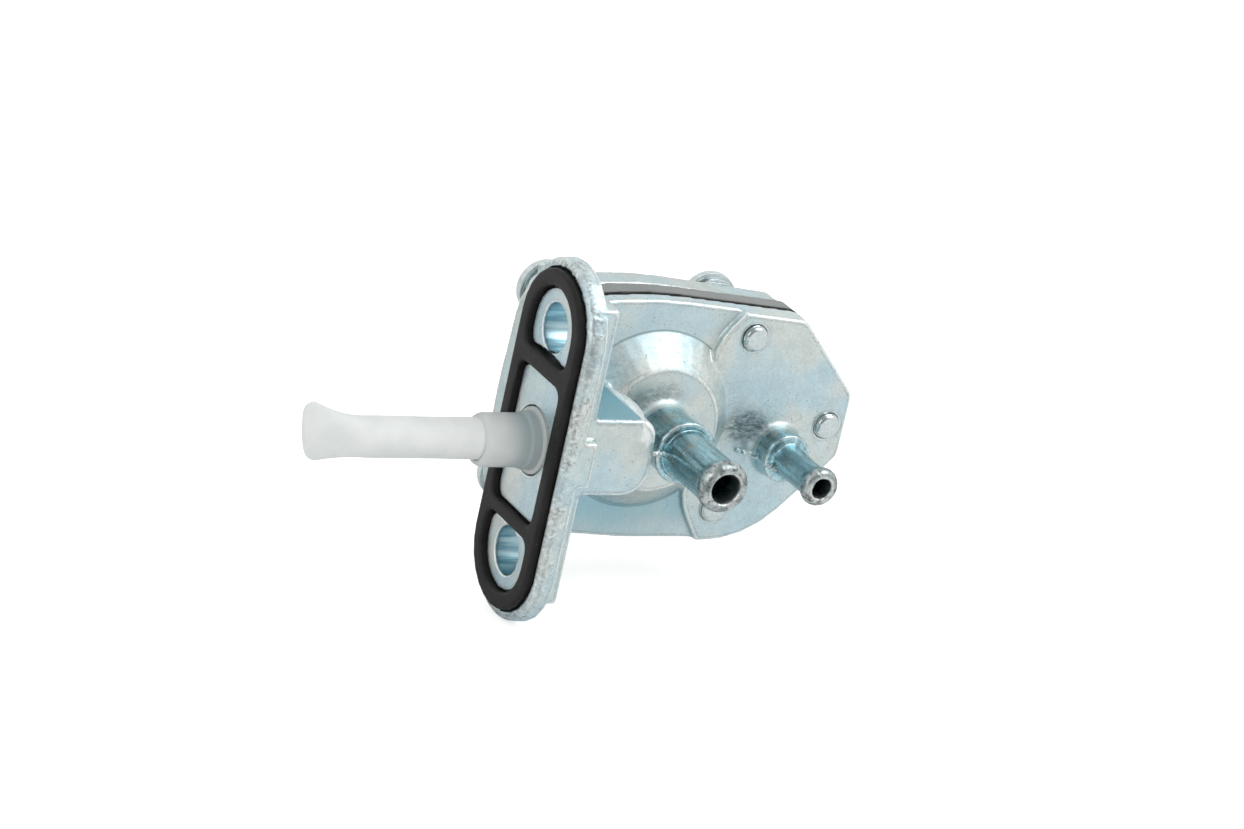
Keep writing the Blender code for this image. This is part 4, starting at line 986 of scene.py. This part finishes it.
def screen_section(x):
    """Half height, half width, middle height and slant of the screen's section."""
    share = min(1, max(0, (PINCH_START_X - x) / PINCH_LENGTH))
    flare = share ** 2.1
    half_z = (2.95 + 1.45 * flare) * MM
    half_y = (2.95 - 2.2 * share) * MM
    lift = 0.15 * MM * min(1, max(0, (SCREEN_ROOT_X - x) / (6 * MM)))
    return half_z, half_y, lift + 0.72 * MM * flare, 0.2 * share


def make_filter_screen():
    """A sleeve whose free end is pinched flat and flared, built ring by ring from its root."""
    rows = 44
    corner = 1.7 * MM
    straight_end = SCREEN_TIP_X + corner
    bm = bmesh.new()
    ring = bmesh.ops.create_circle(bm, cap_ends=False, segments=64, radius=1.0)["verts"]
    unit = [vert.co.copy() for vert in ring]
    edges = list(bm.edges)

    def shape(verts, x, shrink):
        half_z, half_y, lift, slant = screen_section(x)
        for vert, at in zip(verts, unit):
            z = lift + at.y * half_z * shrink
            vert.co = (x - slant * z, at.x * half_y * (0.45 + 0.55 * shrink), z)

    length = straight_end - SCREEN_ROOT_X
    places = [(SCREEN_ROOT_X + length * i / rows, 1) for i in range(rows + 1)]
    for degrees in (15, 30, 45, 58, 70, 80, 88):
        a = math.radians(degrees)
        places.append((SCREEN_TIP_X + corner * (1 - math.sin(a)), 1 - 0.39 * (1 - math.cos(a))))
    shape(ring, *places[0])
    for x, shrink in places[1:]:
        grown = bmesh.ops.extrude_edge_only(bm, edges=edges)["geom"]
        edges = [item for item in grown if isinstance(item, bmesh.types.BMEdge)]
        fresh = {vert for edge in edges for vert in edge.verts}
        ring = [next(e.other_vert(v) for e in v.link_edges if e.other_vert(v) in fresh) for v in ring]
        shape(ring, x, shrink)
    bmesh.ops.contextual_create(bm, geom=edges)
    bmesh.ops.recalc_face_normals(bm, faces=bm.faces)
    for vert in bm.verts:
        wave = noise.noise(Vector((vert.co.x * 160, vert.co.y * 60, vert.co.z * 60)))
        vert.co += vert.normal * (wave * 0.07 * MM if vert.co.x < -9 * MM else 0)
    wall = {"thickness": 0.4 * MM, "offset": -1.0, "use_rim": True}
    mesh = modified(to_mesh(bm), [("SOLIDIFY", wall)])
    finish_piece(mesh, "filter_sleeve", NYLON, ("filter_screen",))


# Screws and lock washers, whose outlines are (radius, place along Y) in millimetres

HEAD_HEIGHT = 2.6 * MM
SHANK_OUTLINE = ((0, 0), (1.4, 0), (1.55, 0.03), (1.85, 0.32))
HEAD_OUTLINE = (
    (1.85, 0), (4.1, 0), (4.3, 0.08), (4.35, 0.3), (4.35, 1.0), (4.2, 1.5), (3.8, 2.0), (3.2, 2.35),
    (2.4, 2.55), (1.5, 2.6), (0, 2.6),
)
THREAD_OUTLINE = ((1.7, -0.24), (1.98, -0.03), (1.98, 0.03), (1.7, 0.24))
THREAD_TURNS = 3.0
THREAD_PITCH = 0.7 * MM
CROSS_SIZE = (4.6 * MM, 3.4 * MM, 0.95 * MM)
WASHER_R = (2.1 * MM, 3.72 * MM)


def screw_place(name):
    """The middle of a screw's tip, and how far its head reaches along Y."""
    low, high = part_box("cover_screw_" + name)
    return Vector(((low.x + high.x) / 2, low.y, (low.z + high.z) / 2)), high.y


def make_screw_mesh(length):
    """A pan head screw with a cross recess, its tip at the origin and its head towards +Y."""
    head_low = (length - HEAD_HEIGHT) / MM
    rows = [*SHANK_OUTLINE, *((r, head_low + y) for r, y in HEAD_OUTLINE)]
    bm = spin_profile([(r * MM, y * MM) for r, y in rows], (0, 0, 0), 64)
    cross = bmesh.new()
    for angle in (0, 90):
        made = bmesh.ops.create_cube(cross, size=1.0)["verts"]
        bmesh.ops.scale(cross, verts=made, vec=CROSS_SIZE)
        for vert in made:
            if vert.co.y < 0:
                vert.co.x *= 0.42
                vert.co.z *= 0.8
        turn_about(cross, made, angle, "Y")
    bmesh.ops.translate(cross, verts=cross.verts, vec=(0, length + 0.1 * MM, 0))
    tool = tool_object(cross, "cross_tool")
    cut = {"operation": "DIFFERENCE", "solver": "EXACT", "use_self": True, "object": tool}
    round_off = {"width": 0.1 * MM, "segments": 2, "limit_method": "ANGLE", "angle_limit": math.radians(35)}
    return modified(to_mesh(bm), [("BOOLEAN", cut), ("BEVEL", round_off)], (tool,))


def make_thread():
    """The ridge of the thread on the last turns of a screw."""
    steps = 32
    bm = bmesh.new()
    verts = [bm.verts.new((r * MM, y * MM, 0)) for r, y in THREAD_OUTLINE]
    edges = [bm.edges.new(pair) for pair in zip(verts, verts[1:] + verts[:1])]
    bm.faces.new(verts)
    bmesh.ops.spin(
        bm, geom=verts + edges, cent=(0, 0, 0), axis=(0, 1, 0), angle=FULL_TURN * THREAD_TURNS,
        steps=int(THREAD_TURNS * steps), dvec=(0, THREAD_PITCH / steps, 0), use_duplicate=False,
    )
    last = bm.verts[:][-4:]
    bmesh.ops.contextual_create(bm, geom=last)
    bmesh.ops.translate(bm, verts=bm.verts, vec=(0, 0.45 * MM, 0))
    bmesh.ops.recalc_face_normals(bm, faces=bm.faces)
    return bm


def make_screws():
    """The five cover screws, each turned to an angle of its own."""
    spot, head = screw_place(SCREWS[0])
    blank = make_screw_mesh(head - spot.y)
    for i, name in enumerate(SCREWS):
        spot, head = screw_place(name)
        bm = bmesh.new()
        bm.from_mesh(blank)
        thread = to_mesh(make_thread())
        bm.from_mesh(thread)
        turn_about(bm, bm.verts, 37 + 67 * i, "Y")
        bmesh.ops.translate(bm, verts=bm.verts, vec=spot)
        finish_piece(
            to_mesh(bm), "screw_" + name, SCREW_ZINC, ("cover_screw_" + name,),
            smooth_angle=38,
        )


def make_washers():
    """Split spring washers, each wound from a square wire."""
    for i, name in enumerate(SCREWS):
        low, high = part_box("lock_washer_" + name)
        centre = (Vector(low) + Vector(high)) / 2
        thick = high.y - low.y
        bm = bmesh.new()
        inner, outer = WASHER_R
        half = thick * 0.42
        rows = ((inner, -half), (outer, -half), (outer, half), (inner, half))
        verts = [bm.verts.new((r, y, 0)) for r, y in rows]
        start = bm.faces.new(verts)
        steps = 72
        sweep = math.radians(351)
        rise = thick * 0.14
        bmesh.ops.translate(bm, verts=verts, vec=(0, -rise / 2, 0))
        bmesh.ops.spin(
            bm, geom=[start] + list(start.edges) + verts, cent=(0, 0, 0), axis=(0, 1, 0), angle=sweep,
            steps=steps, dvec=(0, rise / steps, 0), use_duplicate=False,
        )
        bmesh.ops.recalc_face_normals(bm, faces=bm.faces)
        soften_edges(bm, 0.12 * MM, 40, 2)
        turn_about(bm, bm.verts, 50 + 71 * i, "Y")
        bmesh.ops.translate(bm, verts=bm.verts, vec=centre)
        finish_piece(
            to_mesh(bm), "washer_" + name, SCREW_ZINC, ("lock_washer_" + name,),
            smooth_angle=40,
        )


# Membranes, which give way as the plunger lifts, and the spring

def make_membrane(node, radius, material):
    """A rubber disc: its rim stays clamped, and its middle moves with the plunger."""
    slit = 0.15 * MM
    low, high = (Vector(c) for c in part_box(node))
    for part, operation, size, body in (
        ("rim", "DIFFERENCE", radius, "housing"), ("middle", "INTERSECT", radius - slit, "plunger"),
    ):
        tool = plug(FUEL_AXIS, size, low.y - MM, high.y + MM, "membrane_plug")
        stack = [("BOOLEAN", {"operation": operation, "solver": "EXACT", "object": tool})]
        mesh = modified(to_mesh(node_copy(node)), stack, (tool,))
        finish_piece(mesh, node + "_" + part, material, (node,), body, smooth_angle=30)


def make_spring():
    """The return spring, whose fixed end is in the cover."""
    mesh = to_mesh(node_copy("return_spring"))
    coil = finish_piece(
        mesh, "coil_spring", SPRING_STEEL, ("return_spring",), smooth_angle=50,
    )
    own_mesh(coil)


# CAD nodes that keep their shape

def dress_nodes():
    """Give the parts of the valve's inside materials of their own."""
    finishes = {
        "valve_seal": BLACK_RUBBER, "valve_plunger": ACETAL, "diaphragm_puck": ACETAL,
        "spring_seat": SCREW_ZINC, "retaining_clip": SPRING_STEEL,
    }
    for name, material in finishes.items():
        for slot in NODES[name].material_slots:
            slot.material = material


# Studio

CAMERA_SIDE = (-0.49, -0.80, 0.34)


def make_floor():
    """A pale floor that looks brighter to the camera and through the nylon."""
    bm = bmesh.new()
    bmesh.ops.create_grid(bm, x_segments=1, y_segments=1, size=3.0)
    bmesh.ops.translate(bm, verts=bm.verts, vec=(0, 0, CAD_BOX[0].z - 0.05 * MM))
    floor = bpy.data.objects.new("floor", to_mesh(bm, "floor"))
    bpy.context.scene.collection.objects.link(floor)
    material, tree, shader = new_material("pale_floor")
    shader.inputs["Base Color"].default_value = (0.9, 0.9, 0.9, 1)
    shader.inputs["Roughness"].default_value = 0.9
    shader.inputs["Specular IOR Level"].default_value = 0.0
    path = add(tree, "LightPath")
    seen = calc(tree, "MAXIMUM", path.outputs["Is Camera Ray"], path.outputs["Is Transmission Ray"])
    shader.inputs["Emission Color"].default_value = (1, 1, 1, 1)
    tree.links.new(times(tree, seen, 0.55), shader.inputs["Emission Strength"])
    floor.data.materials.append(material)


def make_world():
    """White round the object, darker for reflections of the camera's side of the room."""
    world = bpy.data.worlds.new("studio")
    bpy.context.scene.world = world
    world.use_nodes = True
    tree = world.node_tree
    tree.nodes.clear()
    path = add(tree, "LightPath")
    seen = calc(tree, "MAXIMUM", path.outputs["Is Camera Ray"], path.outputs["Is Transmission Ray"])
    glossy = path.outputs["Is Glossy Ray"]
    direction = add(tree, "TexCoord").outputs["Generated"]
    facing = add(tree, "VectorMath", {0: direction, 1: CAMERA_SIDE}, operation="DOT_PRODUCT")
    room = spread(tree, facing.outputs["Value"], 0.35, 0.95, 1.0, 0.38)
    strength = raised(tree, 0.75, glossy, -0.75)
    strength = calc(tree, "ADD", times(tree, glossy, room), strength)
    strength = calc(tree, "MAXIMUM", strength, seen)
    light = add(tree, "Background", {"Color": (1, 1, 1, 1), "Strength": strength})
    out = add(tree, "OutputWorld")
    tree.links.new(light.outputs[0], out.inputs["Surface"])


def make_light(name, place, size, power):
    """A soft light, aimed at the middle of the tap."""
    data = bpy.data.lights.new(name, "AREA")
    data.shape = "ELLIPSE"
    data.size, data.size_y = size
    data.energy = power
    light = bpy.data.objects.new(name, data)
    bpy.context.scene.collection.objects.link(light)
    light.location = place
    aim = Vector((0.015, 0, 0)) - light.location
    light.rotation_euler = aim.to_track_quat("-Z", "Y").to_euler()


make_camera()
make_casting()
make_cover()
make_nipples()
make_flash("flash_fuel", (15.1, -7.9, 1.5), (19.8, -4.6, 0.1), (0.1, -0.7, 0.8), 1.0)
make_flash("flash_vacuum", (38.3, 7.1, -4.0), (41.6, 4.9, -4.4), (0, -0.9, 0.3), 4.0)
make_flash("flash_collar", (41.2, 3.4, -4.6), (42.9, 2.2, -4.9), (-0.2, -0.5, 0.4), 6.0)
make_gasket()
make_spacer()
make_filter_base()
make_filter_screen()
make_screws()
make_washers()
make_membrane("diaphragm_front", PISTON_CLEAR_R, BLACK_RUBBER)
make_membrane("diaphragm_rear", PISTON_CLEAR_R, BLACK_RUBBER)
make_spring()
dress_nodes()
make_floor()
make_world()
make_light("softbox_top", (0.30, -0.24, 0.54), (0.5, 0.5), 1.5)
make_light("softbox_left", (-0.60, -0.30, 0.35), (0.4, 0.5), 1.0)

bpy.context.scene.view_settings.view_transform = "Standard"
